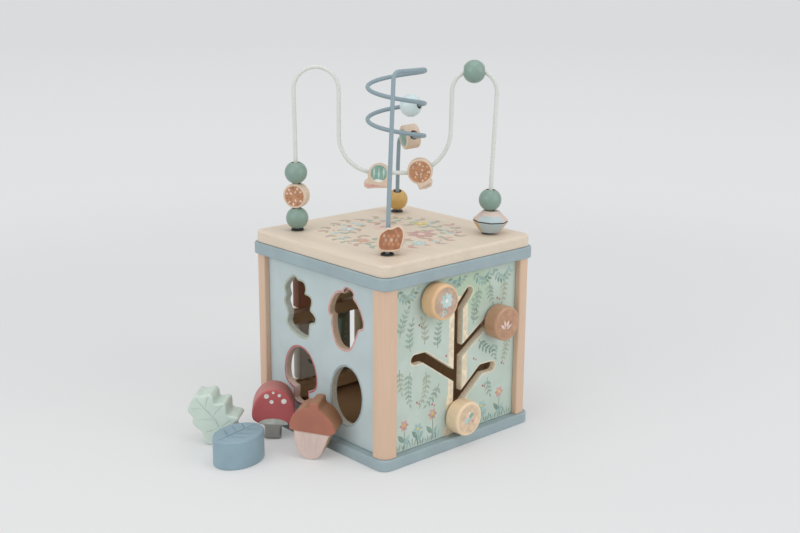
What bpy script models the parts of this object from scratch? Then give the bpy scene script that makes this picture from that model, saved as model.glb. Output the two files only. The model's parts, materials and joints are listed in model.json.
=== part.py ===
"""Wooden activity cube with a bead maze on its lift-off lid.

The origin is on the floor under the middle of the cube, +Z up. The shape sorter faces -Y, the
sliding-knob tree +X, the gears +Y and the turning tiles -X. Lengths are in metres.
"""

import math

import bmesh
import bpy
from mathutils import Matrix, Vector

MM = 0.001
GAP = 0.3 * MM

# Frame of the cube
CUBE = 180 * MM
BASE_THICKNESS = 9.9 * MM
FRAME_LOW = 155.8 * MM
FRAME_HIGH = 166.3 * MM
BOARD_RADIUS = 9 * MM
BOARD_EDGE = 1.2 * MM
POST_OUTER = 88 * MM
POST_INNER = 73 * MM
POST_RADIUS = 8.9 * MM
PANEL_OUTER = 82.5 * MM
PANEL_INNER = 76.5 * MM
GROOVE_DEPTH = 2 * MM
FRAME_OPENING = 130 * MM

# Lift-off lid
LID_SIZE = 176 * MM
LID_LOW = FRAME_HIGH + GAP
LID_HIGH = 176.7 * MM
LID_EDGE = 2.5 * MM
STEP_SIZE = 128 * MM
STEP_DEPTH = 8 * MM

# Bead maze
WIRE = 3.7 * MM
WIRE_SIDES_RESOLUTION = 2
FOOT = 60 * MM
FOOT_REACH = FOOT * math.sqrt(2)
WIRE_SOCKET_DEPTH = 9 * MM
SOCKET_RADIUS = WIRE / 2 + GAP
COLLAR_LOW = LID_HIGH + GAP
COLLAR_HIGH = 178.3 * MM
COLLAR_RADIUS = 5.8 * MM
BORE = 7.6 * MM
BALL = 20 * MM
DISC_RADIUS = 11 * MM
DISC_THICKNESS = 10 * MM
DISC_FACING = -17
SLICE_THICKNESS = 11 * MM
EDGE_EASING = 0.8 * MM

# Corners of the white wire across the diagonal: distance, height and bend radius
WHITE_CORNERS = (
    (-86.9 * MM, 321.6 * MM, 19.6 * MM),
    (-47.4 * MM, 321.6 * MM, 19.6 * MM),
    (-47.4 * MM, 230.0 * MM, 32.0 * MM),
    (50.0 * MM, 230.0 * MM, 38.0 * MM),
    (51.0 * MM, 320.3 * MM, 18.6 * MM),
    (90.2 * MM, 320.3 * MM, 18.6 * MM),
)

# Helix of the blue wire, and the corners of its legs (right, towards the front corner, height)
HELIX_RIGHT = 2.6 * MM
HELIX_RADIUS = 24.8 * MM
HELIX_TOP = 319.3 * MM
HELIX_PITCH = 28.1 * MM
HELIX_ANGLE = math.radians(2 * 360 + 23)
FRONT_LEG = (
    (0.0, FOOT_REACH, COLLAR_LOW, 6 * MM),
    (0.6 * MM, 77 * MM, 216 * MM, 120 * MM),
    (2.4 * MM, 42 * MM, 322.0 * MM, 8 * MM),
    (27.4 * MM, 14 * MM, 321.8 * MM, 14 * MM),
)
BACK_LEG = (
    (2.4 * MM, -65.5 * MM, 250.9 * MM, 9 * MM),
    (1.4 * MM, -69.5 * MM, 226 * MM, 60 * MM),
    (0.0, -FOOT_REACH, COLLAR_LOW, 6 * MM),
)

# Middles of the two bends of the white wire that beads swing round, and their reach
ARCH_CENTRE_PLACE = (69.85 * MM, 301.7 * MM)
ARCH_BALL_REACH = 17.4 * MM
VALLEY_CENTRE_PLACE = (12.42 * MM, 268 * MM)
VALLEY_BEAD_REACH = 37.8 * MM

# Places of single beads: turn round the bend in degrees, height above a collar, or distance and height
ARCH_BALL_TURN = 91
VALLEY_RIGHT_TURN = 17.7
VALLEY_LEFT_PLACE = (-12 * MM, 229.0 * MM)
VALLEY_LEFT_SLOPE = -2
FRONT_CONE_RISE = 12.9 * MM
BACK_BALL_RISE = 2 * MM
HELIX_BALL_TURN = math.radians(360 + 60)
HELIX_BALL_INWARD = 0.85 * MM
BICONE_ASIDE = 1.5 * MM

# Drum on the straight run behind the helix: distance from the helix, tip and roll in degrees
DRUM_ALONG = 32 * MM
DRUM_TIP = -7
DRUM_ROLL = -6
DRUM_LIFT = 0.3 * MM
DRUM_RADIUS = 11 * MM
DRUM_THICKNESS = 13 * MM
DRUM_BORE = 8.4 * MM

# Shape sorter
BLOCK_THICKNESS = 25 * MM

# Sliding-knob tree
TRUNK_WIDTH = 9.6 * MM
BRANCH_WIDTH = 8.8 * MM
TREE_SLOT = (
    ("trunk", (2.3, 27.0), (2.3, 123.5)),
    ("upper_left", (2.3, 123.5), (-28.6, 138.0)),
    ("crown", (2.3, 123.5), (14.5, 136.2)),
    ("upper_right", (2.3, 81.5), (36.0, 103.6)),
    ("upper_right_end", (36.0, 103.6), (47.6, 103.9)),
    ("left", (2.3, 60.8), (-37.5, 88.4)),
    ("left_end", (-37.5, 88.4), (-48.5, 88.6)),
    ("lower_right", (2.3, 38.8), (31.5, 62.0)),
    ("lower_right_end", (31.5, 62.0), (45.0, 61.7)),
)
KNOB_RADIUS = 15.4 * MM
KNOB_THICKNESS = 14.5 * MM
KNOB_CLEARANCE = 1 * MM
PEG_RADIUS = 3.7 * MM
PEG_DEPTH = 7 * MM
RETAINER_RADIUS = 9 * MM
RETAINER_THICKNESS = 4 * MM

# Turning tiles
TILE_AXIS = 74 * MM
TILE_SPACING = 37 * MM
TILE_WIDTH = 30 * MM
TILE_THICKNESS = 12 * MM
ROD_RADIUS = 2.5 * MM
WINDOW_HALF = 60 * MM
TILE_ROWS = (("lower", 31 * MM, 84 * MM), ("upper", 100 * MM, 142 * MM))
WINDOW_MARGIN = 2.5 * MM
RAILS = (
    ("lower", 14 * MM, 26 * MM),
    ("middle", 87 * MM, 97 * MM),
    ("upper", 145 * MM, 155.2 * MM),
)
RAIL_DEPTH = 10 * MM
ROD_SOCKET = 7 * MM
TURNED_TILE = math.radians(33)

# Meshed gears
MODULE = 3.5 * MM
PRESSURE_ANGLE = math.radians(20)
GEARS = (
    ("gear_top", 14, (-40 * MM, 122 * MM)),
    ("gear_middle", 18, (0.0, 83 * MM)),
    ("gear_bottom", 14, (40 * MM, 44 * MM)),
)
GEAR_THICKNESS = 8 * MM
GEAR_STANDOFF = 1 * MM
PIN_RADIUS = 4 * MM
PIN_HEAD_RADIUS = 8.5 * MM
PIN_HEAD = 4.5 * MM

# Directions of the maze: to the right of the front corner, and towards it
ACROSS = Vector((1, 1, 0)).normalized()
TOWARDS = Vector((1, -1, 0)).normalized()
UP = Vector((0, 0, 1))
ARCH_CENTRE = ACROSS * ARCH_CENTRE_PLACE[0] + UP * ARCH_CENTRE_PLACE[1]
VALLEY_CENTRE = ACROSS * VALLEY_CENTRE_PLACE[0] + UP * VALLEY_CENTRE_PLACE[1]

# Colour, roughness
SLATE = ((0.27, 0.36, 0.41), 0.55)
PEACH_WOOD = ((0.62, 0.42, 0.30), 0.6)
PALE_WOOD = ((0.69, 0.60, 0.51), 0.6)
MIST = ((0.45, 0.55, 0.60), 0.5)
MINT = ((0.49, 0.58, 0.51), 0.5)
SAND = ((0.62, 0.50, 0.36), 0.55)
WHITE = ((0.80, 0.80, 0.78), 0.35)
BLUE_WIRE = ((0.30, 0.39, 0.43), 0.4)
BLACK = ((0.012, 0.012, 0.014), 0.45)
SAGE = ((0.24, 0.40, 0.35), 0.45)
TERRACOTTA = ((0.60, 0.29, 0.18), 0.55)
PEACH = ((0.66, 0.46, 0.35), 0.55)
MUSTARD = ((0.53, 0.36, 0.10), 0.45)
ICE = ((0.58, 0.69, 0.72), 0.45)
RED = ((0.42, 0.09, 0.08), 0.5)
LEAF_GREEN = ((0.56, 0.66, 0.59), 0.55)
DUSTY_BLUE = ((0.22, 0.34, 0.41), 0.5)


def clear_scene():
    for obj in list(bpy.data.objects):
        bpy.data.objects.remove(obj, do_unlink=True)


def add_object(name, data, finish, frame=Matrix.Identity(4)):
    """Links a new object with a material of its own, placed by frame."""
    obj = bpy.data.objects.new(name, data)
    bpy.context.scene.collection.objects.link(obj)
    obj.matrix_world = frame
    if finish is None:
        obj.hide_render = True
        obj.display_type = "WIRE"
        return obj
    colour, roughness = finish
    mat = bpy.data.materials.new(name)
    mat.use_nodes = True
    shader = mat.node_tree.nodes["Principled BSDF"]
    shader.inputs["Base Color"].default_value = (*colour, 1.0)
    shader.inputs["Roughness"].default_value = roughness
    shader.inputs["Metallic"].default_value = 0.0
    data.materials.append(mat)
    return obj


def add_mesh(name, bm, finish, frame=Matrix.Identity(4), smooth=None):
    """Turns a bmesh into an object. smooth is the angle past which an edge stays sharp."""
    bmesh.ops.remove_doubles(bm, verts=bm.verts, dist=0.001 * MM)
    bmesh.ops.recalc_face_normals(bm, faces=bm.faces)
    mesh = bpy.data.meshes.new(name)
    bm.to_mesh(mesh)
    bm.free()
    if smooth is not None:
        mesh.shade_smooth()
        mesh.set_sharp_from_angle(angle=math.radians(smooth))
    return add_object(name, mesh, finish, frame)


def bevel(obj, width, segments, angle=50):
    modifier = obj.modifiers.new("Rounded edges", "BEVEL")
    modifier.width = width
    modifier.segments = segments
    modifier.limit_method = "ANGLE"
    modifier.angle_limit = math.radians(angle)
    modifier.harden_normals = False


def combine(obj, other, operation="DIFFERENCE"):
    modifier = obj.modifiers.new(other.name, "BOOLEAN")
    modifier.operation = operation
    modifier.solver = "EXACT"
    modifier.object = other


def arc(centre, radius, start, end, steps):
    """Points from start to end, angles in degrees, ends included."""
    angles = [math.radians(start + (end - start) * i / steps) for i in range(steps + 1)]
    return [(centre[0] + radius * math.cos(a), centre[1] + radius * math.sin(a)) for a in angles]


def rounded_rectangle(width, height, radius, steps=4):
    """Outline about the origin, anticlockwise."""
    x = width / 2 - radius
    y = height / 2 - radius
    outline = []
    for quarter, centre in enumerate(((x, y), (-x, y), (-x, -y), (x, -y))):
        outline += arc(centre, radius, 90 * quarter, 90 * quarter + 90, steps)
    return outline


def ellipse(half_width, half_height, steps):
    angles = [2 * math.pi * i / steps for i in range(steps)]
    return [(half_width * math.cos(a), half_height * math.sin(a)) for a in angles]


def smooth_loop(points, steps=3):
    """A closed curve through points, with steps stretches between each two."""
    count = len(points)
    outline = []
    for i in range(count):
        before, start, end, after = (Vector(points[(i + k - 1) % count]) for k in range(4))
        for step in range(steps):
            t = step / steps
            pull = (end - before) * t + (2 * before - 5 * start + 4 * end - after) * t**2
            pull += (3 * start - before - 3 * end + after) * t**3
            outline.append(tuple(start + pull / 2))
    return outline


def offset(outline, distance):
    """The anticlockwise outline, moved outwards."""
    count = len(outline)
    moved = []
    for i in range(count):
        before, here, after = (Vector(outline[(i + k - 1) % count]) for k in range(3))
        first = (here - before).normalized()
        second = (after - here).normalized()
        normal = Vector((first.y + second.y, -first.x - second.x)).normalized()
        lengthen = max(0.7, normal.dot(Vector((first.y, -first.x))))
        moved.append(tuple(here + normal * (distance / lengthen)))
    return moved


def turned(outline, degrees):
    turn = Matrix.Rotation(math.radians(degrees), 2)
    return [tuple(turn @ Vector(point)) for point in outline]


def moved(outline, shift):
    return [(x + shift[0], y + shift[1]) for x, y in outline]


def prism(outline, low, high):
    """A bmesh: the outline in XY, extruded from low to high along Z."""
    bm = bmesh.new()
    face = bm.faces.new([bm.verts.new((x, y, low)) for x, y in outline])
    raised = bmesh.ops.extrude_face_region(bm, geom=[face])["geom"]
    verts = [item for item in raised if isinstance(item, bmesh.types.BMVert)]
    bmesh.ops.translate(bm, vec=(0, 0, high - low), verts=verts)
    return bm


def lathe(profile, steps, closed=True):
    """A bmesh: the profile of (radius, height) points turned about Z."""
    bm = bmesh.new()
    verts = [bm.verts.new((radius, 0, height)) for radius, height in profile]
    edges = [bm.edges.new(pair) for pair in zip(verts, verts[1:])]
    if closed:
        edges.append(bm.edges.new((verts[-1], verts[0])))
    bmesh.ops.spin(
        bm,
        geom=verts + edges,
        cent=(0, 0, 0),
        axis=(0, 0, 1),
        angle=2 * math.pi,
        steps=steps,
        use_merge=True,
    )
    return bm


def cylinder_cutter(name, radius, low, high, frame, steps=16):
    return add_mesh(name, prism(ellipse(radius, radius, steps), low, high), None, frame)


def side_frame(azimuth):
    """A face of the cube: X to its right, Y up and Z out of it, seen from outside."""
    front = Matrix(((1, 0, 0, 0), (0, 0, -1, 0), (0, 1, 0, 0), (0, 0, 0, 1)))
    return Matrix.Rotation(math.radians(azimuth + 90), 4, "Z") @ front


FRONT = side_frame(-90)
RIGHT = side_frame(0)
BACK = side_frame(90)
LEFT = side_frame(180)


def axis_frame(origin, direction, side=UP):
    """A frame with Z along direction and X as near to side as it can be."""
    z = Vector(direction).normalized()
    y = z.cross(side).normalized()
    x = y.cross(z)
    frame = Matrix((x, y, z)).transposed().to_4x4()
    frame.translation = origin
    return frame


# Outlines of the sorter's four shapes, in millimetres about the middle of each
LEAF_POINTS = (
    (-6.9, 25.7), (-2.5, 23.2), (5.2, 22.4), (7.3, 18.4), (6.5, 12.7), (14.4, 10.9),
    (15.0, 6.5), (13.2, 0.0), (19.4, -4.4), (20.3, -7.9), (13.0, -11.5), (11.4, -18.3),
    (9.4, -24.2), (-3.6, -24.2), (-16.1, -18.0), (-14.6, -8.6), (-19.4, 1.3), (-17.3, 7.5),
    (-19.0, 14.8), (-13.0, 21.7),
)
ACORN_POINTS = (
    (-2.6, -25.8), (-8.0, -23.8), (-12.4, -18.4), (-15.6, -10.2), (-16.6, -1.8), (-20.6, -0.4),
    (-20.4, 6.6), (-15.4, 16.2), (-8.8, 20.2), (-4.8, 20.4), (-3.8, 25.0), (3.4, 25.4),
    (5.0, 20.0), (10.6, 16.4), (16.4, 10.2), (20.0, 1.8), (14.6, -2.8), (11.6, -12.0), (6.6, -22.8),
)
MUSHROOM_HALF_POINTS = (
    (6.8, -23.6), (6.4, -18.0), (7.6, -11.8), (13.2, -9.4), (18.0, -6.0), (19.0, 1.2),
    (16.2, 11.6), (9.6, 19.8), (0.0, 22.8),
)
ELLIPSE_HALF_AXES = (18.8 * MM, 25.2 * MM)
ELLIPSE_TILT = -8


def in_metres(points):
    return [(x * MM, y * MM) for x, y in points]


def mirrored(points):
    """The points and their mirror images, one loop."""
    return list(points) + [(-x, y) for x, y in reversed(points) if abs(x) > 0]


def leaf_outline():
    return smooth_loop(in_metres(LEAF_POINTS), 2)[::-1]


def acorn_outline():
    return smooth_loop(in_metres(ACORN_POINTS), 2)[::-1]


def mushroom_outline():
    return smooth_loop(in_metres(mirrored(MUSHROOM_HALF_POINTS)), 2)


def ellipse_outline():
    return ellipse(*ELLIPSE_HALF_AXES, 28)


# Each shape: outline, middle of its hole, tilt of the hole in degrees and room round the block
SORTER_SHAPES = {
    "leaf": (leaf_outline, (-29.8 * MM, 116.0 * MM), 0, 1.0 * MM),
    "acorn": (acorn_outline, (33.6 * MM, 119.3 * MM), -8, 1.3 * MM),
    "mushroom": (mushroom_outline, (-29.2 * MM, 53.8 * MM), 2, 2.4 * MM),
    "ellipse": (ellipse_outline, (33.4 * MM, 51.3 * MM), ELLIPSE_TILT, 1.1 * MM),
}

# Each block: foot of its front face, azimuth that it faces, turn in its own plane and finish
BLOCK_PLACES = {
    "leaf": ((-53.5 * MM, -160.0 * MM), -48, 21, LEAF_GREEN),
    "acorn": ((27.8 * MM, -115.4 * MM), -55, -3, TERRACOTTA),
    "mushroom": ((-29.6 * MM, -113.0 * MM), -38, -3, RED),
}
ELLIPSE_PLACE = (-14.2 * MM, -161.5 * MM)
ELLIPSE_HEADING = 104.2


def build_boards():
    outline = rounded_rectangle(CUBE, CUBE, BOARD_RADIUS, 5)
    base = add_mesh("base_board", prism(outline, 0, BASE_THICKNESS), SLATE)
    bevel(base, BOARD_EDGE, 2)
    frame = add_mesh("upper_frame", prism(outline, FRAME_LOW, FRAME_HIGH), SLATE)
    bevel(frame, BOARD_EDGE, 2)
    opening = rounded_rectangle(FRAME_OPENING, FRAME_OPENING, 10 * MM)
    opening = prism(opening, FRAME_LOW - MM, FRAME_HIGH + MM)
    combine(frame, add_mesh("frame_opening_cutter", opening, None))


def build_lid():
    board = prism(rounded_rectangle(LID_SIZE, LID_SIZE, BOARD_RADIUS, 5), LID_LOW, LID_HIGH)
    lid = add_mesh("top_board", board, PALE_WOOD)
    bevel(lid, LID_EDGE, 2)
    step = prism(rounded_rectangle(STEP_SIZE, STEP_SIZE, 9 * MM), LID_LOW - STEP_DEPTH, LID_LOW + 4 * MM)
    combine(lid, add_mesh("lid_step", step, None), "UNION")
    low = LID_HIGH - WIRE_SOCKET_DEPTH
    for x, y in foot_places().values():
        place = Matrix.Translation((x, y, 0))
        combine(lid, cylinder_cutter("wire_socket", SOCKET_RADIUS, low, LID_HIGH + MM, place, 12))


def foot_places():
    return {"left": (-FOOT, -FOOT), "front": (FOOT, -FOOT), "right": (FOOT, FOOT), "back": (-FOOT, FOOT)}


def post_outline():
    """The post on the +X +Y corner, with a groove for each of the panels that it holds."""
    edge = 1.5 * MM
    inner, outer = POST_INNER, POST_OUTER
    slot_low, slot_high = PANEL_INNER - GAP, PANEL_OUTER + GAP
    bottom = inner + GROOVE_DEPTH
    outline = [(inner, inner), (slot_low, inner), (slot_low, bottom)]
    outline += [(slot_high, bottom), (slot_high, inner)]
    outline += arc((outer - edge, inner + edge), edge, -90, 0, 2)
    outline += arc((outer - POST_RADIUS, outer - POST_RADIUS), POST_RADIUS, 0, 90, 6)
    outline += arc((inner + edge, outer - edge), edge, 90, 180, 2)
    outline += [(inner, slot_high), (bottom, slot_high), (bottom, slot_low), (inner, slot_low)]
    return outline


def build_posts():
    for quarter, name in enumerate(("right", "back", "left", "front")):
        bm = prism(post_outline(), BASE_THICKNESS + GAP, FRAME_LOW - GAP)
        add_mesh(f"post_{name}", bm, PEACH_WOOD, Matrix.Rotation(math.pi / 2 * quarter, 4, "Z"), smooth=40)


def panel(name, frame, finish):
    """A panel that reaches into the grooves of the posts on both sides of it."""
    reach = POST_INNER + GROOVE_DEPTH - GAP
    low, high = BASE_THICKNESS + GAP, FRAME_LOW - GAP
    outline = [(-reach, low), (reach, low), (reach, high), (-reach, high)]
    return add_mesh(name, prism(outline, PANEL_INNER, PANEL_OUTER), finish, frame)


def panel_cutter(name, outline, frame):
    return add_mesh(name, prism(outline, PANEL_INNER - 2 * MM, PANEL_OUTER + 2 * MM), None, frame)


def build_sorter():
    sorter = panel("sorter_panel", FRONT, MIST)
    for name, (outline, middle, tilt, room) in SORTER_SHAPES.items():
        hole = moved(turned(offset(outline(), room), tilt), middle)
        combine(sorter, panel_cutter(f"{name}_hole_cutter", hole, FRONT))


def build_blocks():
    for name, (place, azimuth, turn, finish) in BLOCK_PLACES.items():
        outline = turned(SORTER_SHAPES[name][0](), turn)
        foot = min(y for _, y in outline)
        frame = Matrix.Translation((*place, 0)) @ side_frame(azimuth)
        bm = prism(moved(outline, (0, -foot)), -BLOCK_THICKNESS, 0)
        block = add_mesh(f"{name}_block", bm, finish, frame)
        bevel(block, EDGE_EASING, 1)
    heading = Matrix.Rotation(math.radians(ELLIPSE_HEADING - 90), 4, "Z")
    frame = Matrix.Translation((*ELLIPSE_PLACE, 0)) @ heading
    block = add_mesh("ellipse_block", prism(ellipse_outline(), 0, BLOCK_THICKNESS), DUSTY_BLUE, frame)
    bevel(block, EDGE_EASING, 1)


def capsule(start, end, width, steps=6):
    """Outline of a straight slot with round ends."""
    heading = math.degrees(math.atan2(end[1] - start[1], end[0] - start[0]))
    far = arc(end, width / 2, heading - 90, heading + 90, steps)
    return far + arc(start, width / 2, heading + 90, heading + 270, steps)


def build_tree():
    tree = panel("tree_panel", RIGHT, MINT)
    for name, start, end in TREE_SLOT:
        width = TRUNK_WIDTH if name == "trunk" else BRANCH_WIDTH
        start, end = in_metres((start, end))
        combine(tree, panel_cutter(f"{name}_slot_cutter", capsule(start, end, width), RIGHT))


def knob_places():
    ends = {name: end for name, _, end in TREE_SLOT}
    starts = {name: start for name, start, _ in TREE_SLOT}
    return {"left": ends["upper_left"], "right": ends["upper_right_end"], "bottom": starts["trunk"]}


def build_knobs():
    face = PANEL_OUTER + KNOB_CLEARANCE
    hole = PEG_RADIUS + GAP
    edge = 2 * MM
    front = arc((KNOB_RADIUS - edge, KNOB_THICKNESS - edge), edge, 0, 90, 2)
    back = arc((KNOB_RADIUS - edge, edge), edge, -90, 0, 2)
    socket = [(0, PEG_DEPTH + GAP), (hole, PEG_DEPTH + GAP), (hole, 0)]
    knob = socket + back + front + [(0, KNOB_THICKNESS)]
    disc_low = PANEL_INNER - KNOB_CLEARANCE - RETAINER_THICKNESS
    thick = RETAINER_THICKNESS
    disc = [(hole, 0), (RETAINER_RADIUS, 0), (RETAINER_RADIUS, thick), (hole, thick)]
    for name, (across, height) in knob_places().items():
        place = RIGHT @ Matrix.Translation((across * MM, height * MM, 0))
        lift = Matrix.Translation((0, 0, face))
        add_mesh(f"knob_{name}", lathe(knob, 20, closed=False), PEACH_WOOD, place @ lift, smooth=40)
        peg = prism(ellipse(PEG_RADIUS, PEG_RADIUS, 12), disc_low, face + PEG_DEPTH)
        add_mesh(f"knob_peg_{name}", peg, PALE_WOOD, place, smooth=40)
        lift = Matrix.Translation((0, 0, disc_low))
        add_mesh(f"knob_retainer_{name}", lathe(disc, 16), PALE_WOOD, place @ lift, smooth=40)


def build_tiles():
    windows = panel("tile_panel", LEFT, MIST)
    for row, low, high in TILE_ROWS:
        width = 2 * WINDOW_HALF
        height = high - low + 2 * WINDOW_MARGIN
        outline = moved(rounded_rectangle(width, height, 4 * MM, 3), (0, (low + high) / 2))
        combine(windows, panel_cutter(f"{row}_window_cutter", outline, LEFT))
    columns = {"left": -TILE_SPACING, "middle": 0.0, "right": TILE_SPACING}
    colours = {"lower": (SAND, WHITE, SAGE), "upper": (SAGE, SAND, TERRACOTTA)}
    rod_low = RAILS[0][2] - ROD_SOCKET
    rod_high = RAILS[-1][1] + ROD_SOCKET
    rails = [build_rail(name, low, high) for name, low, high in RAILS]
    sockets = (
        (rod_low - GAP, RAILS[0][2] + MM),
        (RAILS[1][1] - MM, RAILS[1][2] + MM),
        (RAILS[2][1] - MM, rod_high + GAP),
    )
    for index, (column, across) in enumerate(columns.items()):
        axis = LEFT @ Matrix.Translation((across, 0, TILE_AXIS)) @ Matrix.Rotation(-math.pi / 2, 4, "X")
        rod = prism(ellipse(ROD_RADIUS, ROD_RADIUS, 12), rod_low, rod_high)
        add_mesh(f"tile_rod_{column}", rod, PALE_WOOD, axis, smooth=40)
        for rail, (low, high) in zip(rails, sockets):
            combine(rail, cylinder_cutter("rod_socket", ROD_RADIUS + GAP, low, high, axis, 12))
        bore = cylinder_cutter(f"rod_{column}_cutter", ROD_RADIUS + GAP, 0, CUBE, axis, 12)
        for row, low, high in TILE_ROWS:
            turn = TURNED_TILE if (row, column) == ("lower", "middle") else 0
            outline = rounded_rectangle(TILE_WIDTH, TILE_THICKNESS, 2 * MM, 3)
            frame = axis @ Matrix.Rotation(turn, 4, "Z")
            bm = prism(outline, low, high)
            tile = add_mesh(f"tile_{row}_{column}", bm, colours[row][index], frame, smooth=40)
            combine(tile, bore)


def build_rail(name, low, high):
    """A rail behind the windows, between the posts, that the tiles' rods stand in."""
    half = POST_INNER - GAP
    depth_low = PANEL_INNER - GAP - RAIL_DEPTH
    outline = [(-half, low), (half, low), (half, high), (-half, high)]
    return add_mesh(f"tile_rail_{name}", prism(outline, depth_low, PANEL_INNER - GAP), SAND, LEFT)


def gear_outline(teeth):
    """Involute teeth, with the first tooth's middle on +X."""
    pitch = MODULE * teeth / 2
    base = pitch * math.cos(PRESSURE_ANGLE)
    tip = pitch + 0.9 * MODULE
    root = pitch - 1.2 * MODULE
    play = 0.09
    half_tooth = math.pi / 2 / teeth * (1 - play)

    def involute(radius):
        roll = math.sqrt(max(0.0, (radius / base) ** 2 - 1))
        return roll - math.atan(roll)

    radii = [max(base, root), pitch, (pitch + tip) / 2, tip]
    flank = [(r, half_tooth + involute(pitch) - involute(r)) for r in radii]
    tooth = [(root, flank[0][1] + 0.02)] + flank if root < base else flank
    outline = []
    for index in range(teeth):
        middle = 2 * math.pi * index / teeth
        for radius, angle in [(r, -a) for r, a in tooth] + tooth[::-1]:
            outline.append((radius * math.cos(middle + angle), radius * math.sin(middle + angle)))
    return outline


def build_gears():
    plate = panel("gear_panel", BACK, MINT)
    low = PANEL_OUTER + GEAR_STANDOFF
    colours = (SAGE, PEACH, TERRACOTTA)
    middle = GEARS[1]
    for (name, teeth, (across, height)), finish in zip(GEARS, colours):
        place = BACK @ Matrix.Translation((-across, height, 0))
        bore = cylinder_cutter(f"{name}_bore", PIN_RADIUS + GAP, PANEL_INNER - MM, CUBE, place)
        turn = gear_turn(teeth, (-across, height), middle)
        bm = prism(gear_outline(teeth), low, low + GEAR_THICKNESS)
        gear = add_mesh(name, bm, finish, place @ Matrix.Rotation(turn, 4, "Z"))
        combine(gear, bore)
        combine(plate, bore)
        top = low + GEAR_THICKNESS + GAP
        dome = arc((0, top), PIN_HEAD_RADIUS, 0, 90, 4)
        head = [(r, top + (h - top) * PIN_HEAD / PIN_HEAD_RADIUS) for r, h in dome]
        shank = [(0, PANEL_INNER), (PIN_RADIUS, PANEL_INNER), (PIN_RADIUS, top)]
        profile = shank + head[:-1] + [(0, top + PIN_HEAD)]
        add_mesh(f"{name}_pin", lathe(profile, 14, closed=False), PALE_WOOD, place, smooth=40)


def gear_turn(teeth, place, middle):
    """Turn that sets a tooth gap of an outer gear on a tooth of the middle gear."""
    _, middle_teeth, (across, height) = middle
    towards = math.atan2(height - place[1], -across - place[0])
    if teeth == middle_teeth:
        return 0.0
    away = towards + math.pi
    pitch = 2 * math.pi / middle_teeth
    tooth_offset = (away / pitch - round(away / pitch)) * pitch
    return towards + math.pi / teeth + tooth_offset * middle_teeth / teeth


def fillet(points):
    """A path of straight lines through points of (place, radius), with each corner rounded."""
    places = [Vector(place) for place, _ in points]
    path = [places[0]]
    for i in range(1, len(points) - 1):
        corner, radius = places[i], points[i][1]
        arrive = (corner - places[i - 1]).normalized()
        leave = (places[i + 1] - corner).normalized()
        angle = arrive.angle(leave)
        cut = radius * math.tan(angle / 2)
        start = corner - arrive * cut
        centre = start + (leave - arrive * arrive.dot(leave)).normalized() * radius
        normal = arrive.cross(leave).normalized()
        steps = max(2, round(math.degrees(angle) / 13))
        for step in range(steps + 1):
            turn = Matrix.Rotation(angle * step / steps, 3, normal)
            path.append(centre + turn @ (start - centre))
    path.append(places[-1])
    return path


def white_path():
    foot = (FOOT_REACH, LID_HIGH - WIRE_SOCKET_DEPTH + GAP, 0)
    start = (-foot[0], foot[1], 0)
    corners = [start, (-FOOT_REACH, COLLAR_HIGH, 4 * MM)] + list(WHITE_CORNERS)
    corners += [(FOOT_REACH, COLLAR_HIGH, 4 * MM), foot]
    return fillet([(ACROSS * s + UP * z, radius) for s, z, radius in corners])


def maze_point(right, towards, height):
    return ACROSS * right + TOWARDS * towards + UP * height


def helix_point(angle):
    """Going down anticlockwise from its right side, seen from above."""
    right = HELIX_RIGHT + HELIX_RADIUS * math.cos(angle)
    height = HELIX_TOP - HELIX_PITCH * angle / (2 * math.pi)
    return maze_point(right, -HELIX_RADIUS * math.sin(angle), height)


def blue_path():
    low = LID_HIGH - WIRE_SOCKET_DEPTH + GAP
    start = [(maze_point(0, FOOT_REACH, low), 0)]
    lead_in = start + [(maze_point(*leg[:3]), leg[3]) for leg in FRONT_LEG] + [(helix_point(0), 0)]
    steps = round(math.degrees(HELIX_ANGLE) / 18)
    coil = [helix_point(HELIX_ANGLE * step / steps) for step in range(1, steps)]
    end = [(maze_point(0, -FOOT_REACH, low), 0)]
    lead_out = [(helix_point(HELIX_ANGLE), 0)] + [(maze_point(*leg[:3]), leg[3]) for leg in BACK_LEG] + end
    return fillet(lead_in) + coil + fillet(lead_out)


def wire(name, path, finish):
    curve = bpy.data.curves.new(name, "CURVE")
    curve.dimensions = "3D"
    curve.bevel_depth = WIRE / 2
    curve.bevel_resolution = WIRE_SIDES_RESOLUTION
    curve.use_fill_caps = True
    spline = curve.splines.new("POLY")
    spline.points.add(len(path) - 1)
    for point, place in zip(spline.points, path):
        point.co = (*place, 1)
    spline.use_smooth = True
    add_object(name, curve, finish)


def build_wires():
    wire("white_wire", white_path(), WHITE)
    wire("blue_wire", blue_path(), BLUE_WIRE)
    profile = [
        (SOCKET_RADIUS, COLLAR_LOW),
        (COLLAR_RADIUS, COLLAR_LOW),
        (COLLAR_RADIUS - 0.4 * MM, COLLAR_HIGH),
        (SOCKET_RADIUS + 0.3 * MM, COLLAR_HIGH),
    ]
    for name, (x, y) in foot_places().items():
        add_mesh(f"collar_{name}", lathe(profile, 16), BLACK, Matrix.Translation((x, y, 0)), smooth=40)


def ball(name, frame, finish, diameter=BALL):
    """A bored ball, its bore along the frame's Z axis."""
    radius, bore = diameter / 2, BORE / 2
    limit = math.degrees(math.acos(bore / radius))
    add_mesh(name, lathe(arc((0, 0), radius, -limit, limit, 7), 18), finish, frame, smooth=40)


def slice_bead(name, outline, thickness, frame, finish, bore=BORE):
    """A flat bead: the outline in the frame's XZ plane, bored along Z."""
    upright = frame @ Matrix.Rotation(math.pi / 2, 4, "X")
    bead = add_mesh(name, prism(outline, -thickness / 2, thickness / 2), finish, upright, smooth=40)
    bevel(bead, EDGE_EASING, 1)
    reach = 30 * MM
    combine(bead, cylinder_cutter(f"{name}_bore", bore / 2, -reach, reach, frame, 16))


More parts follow.
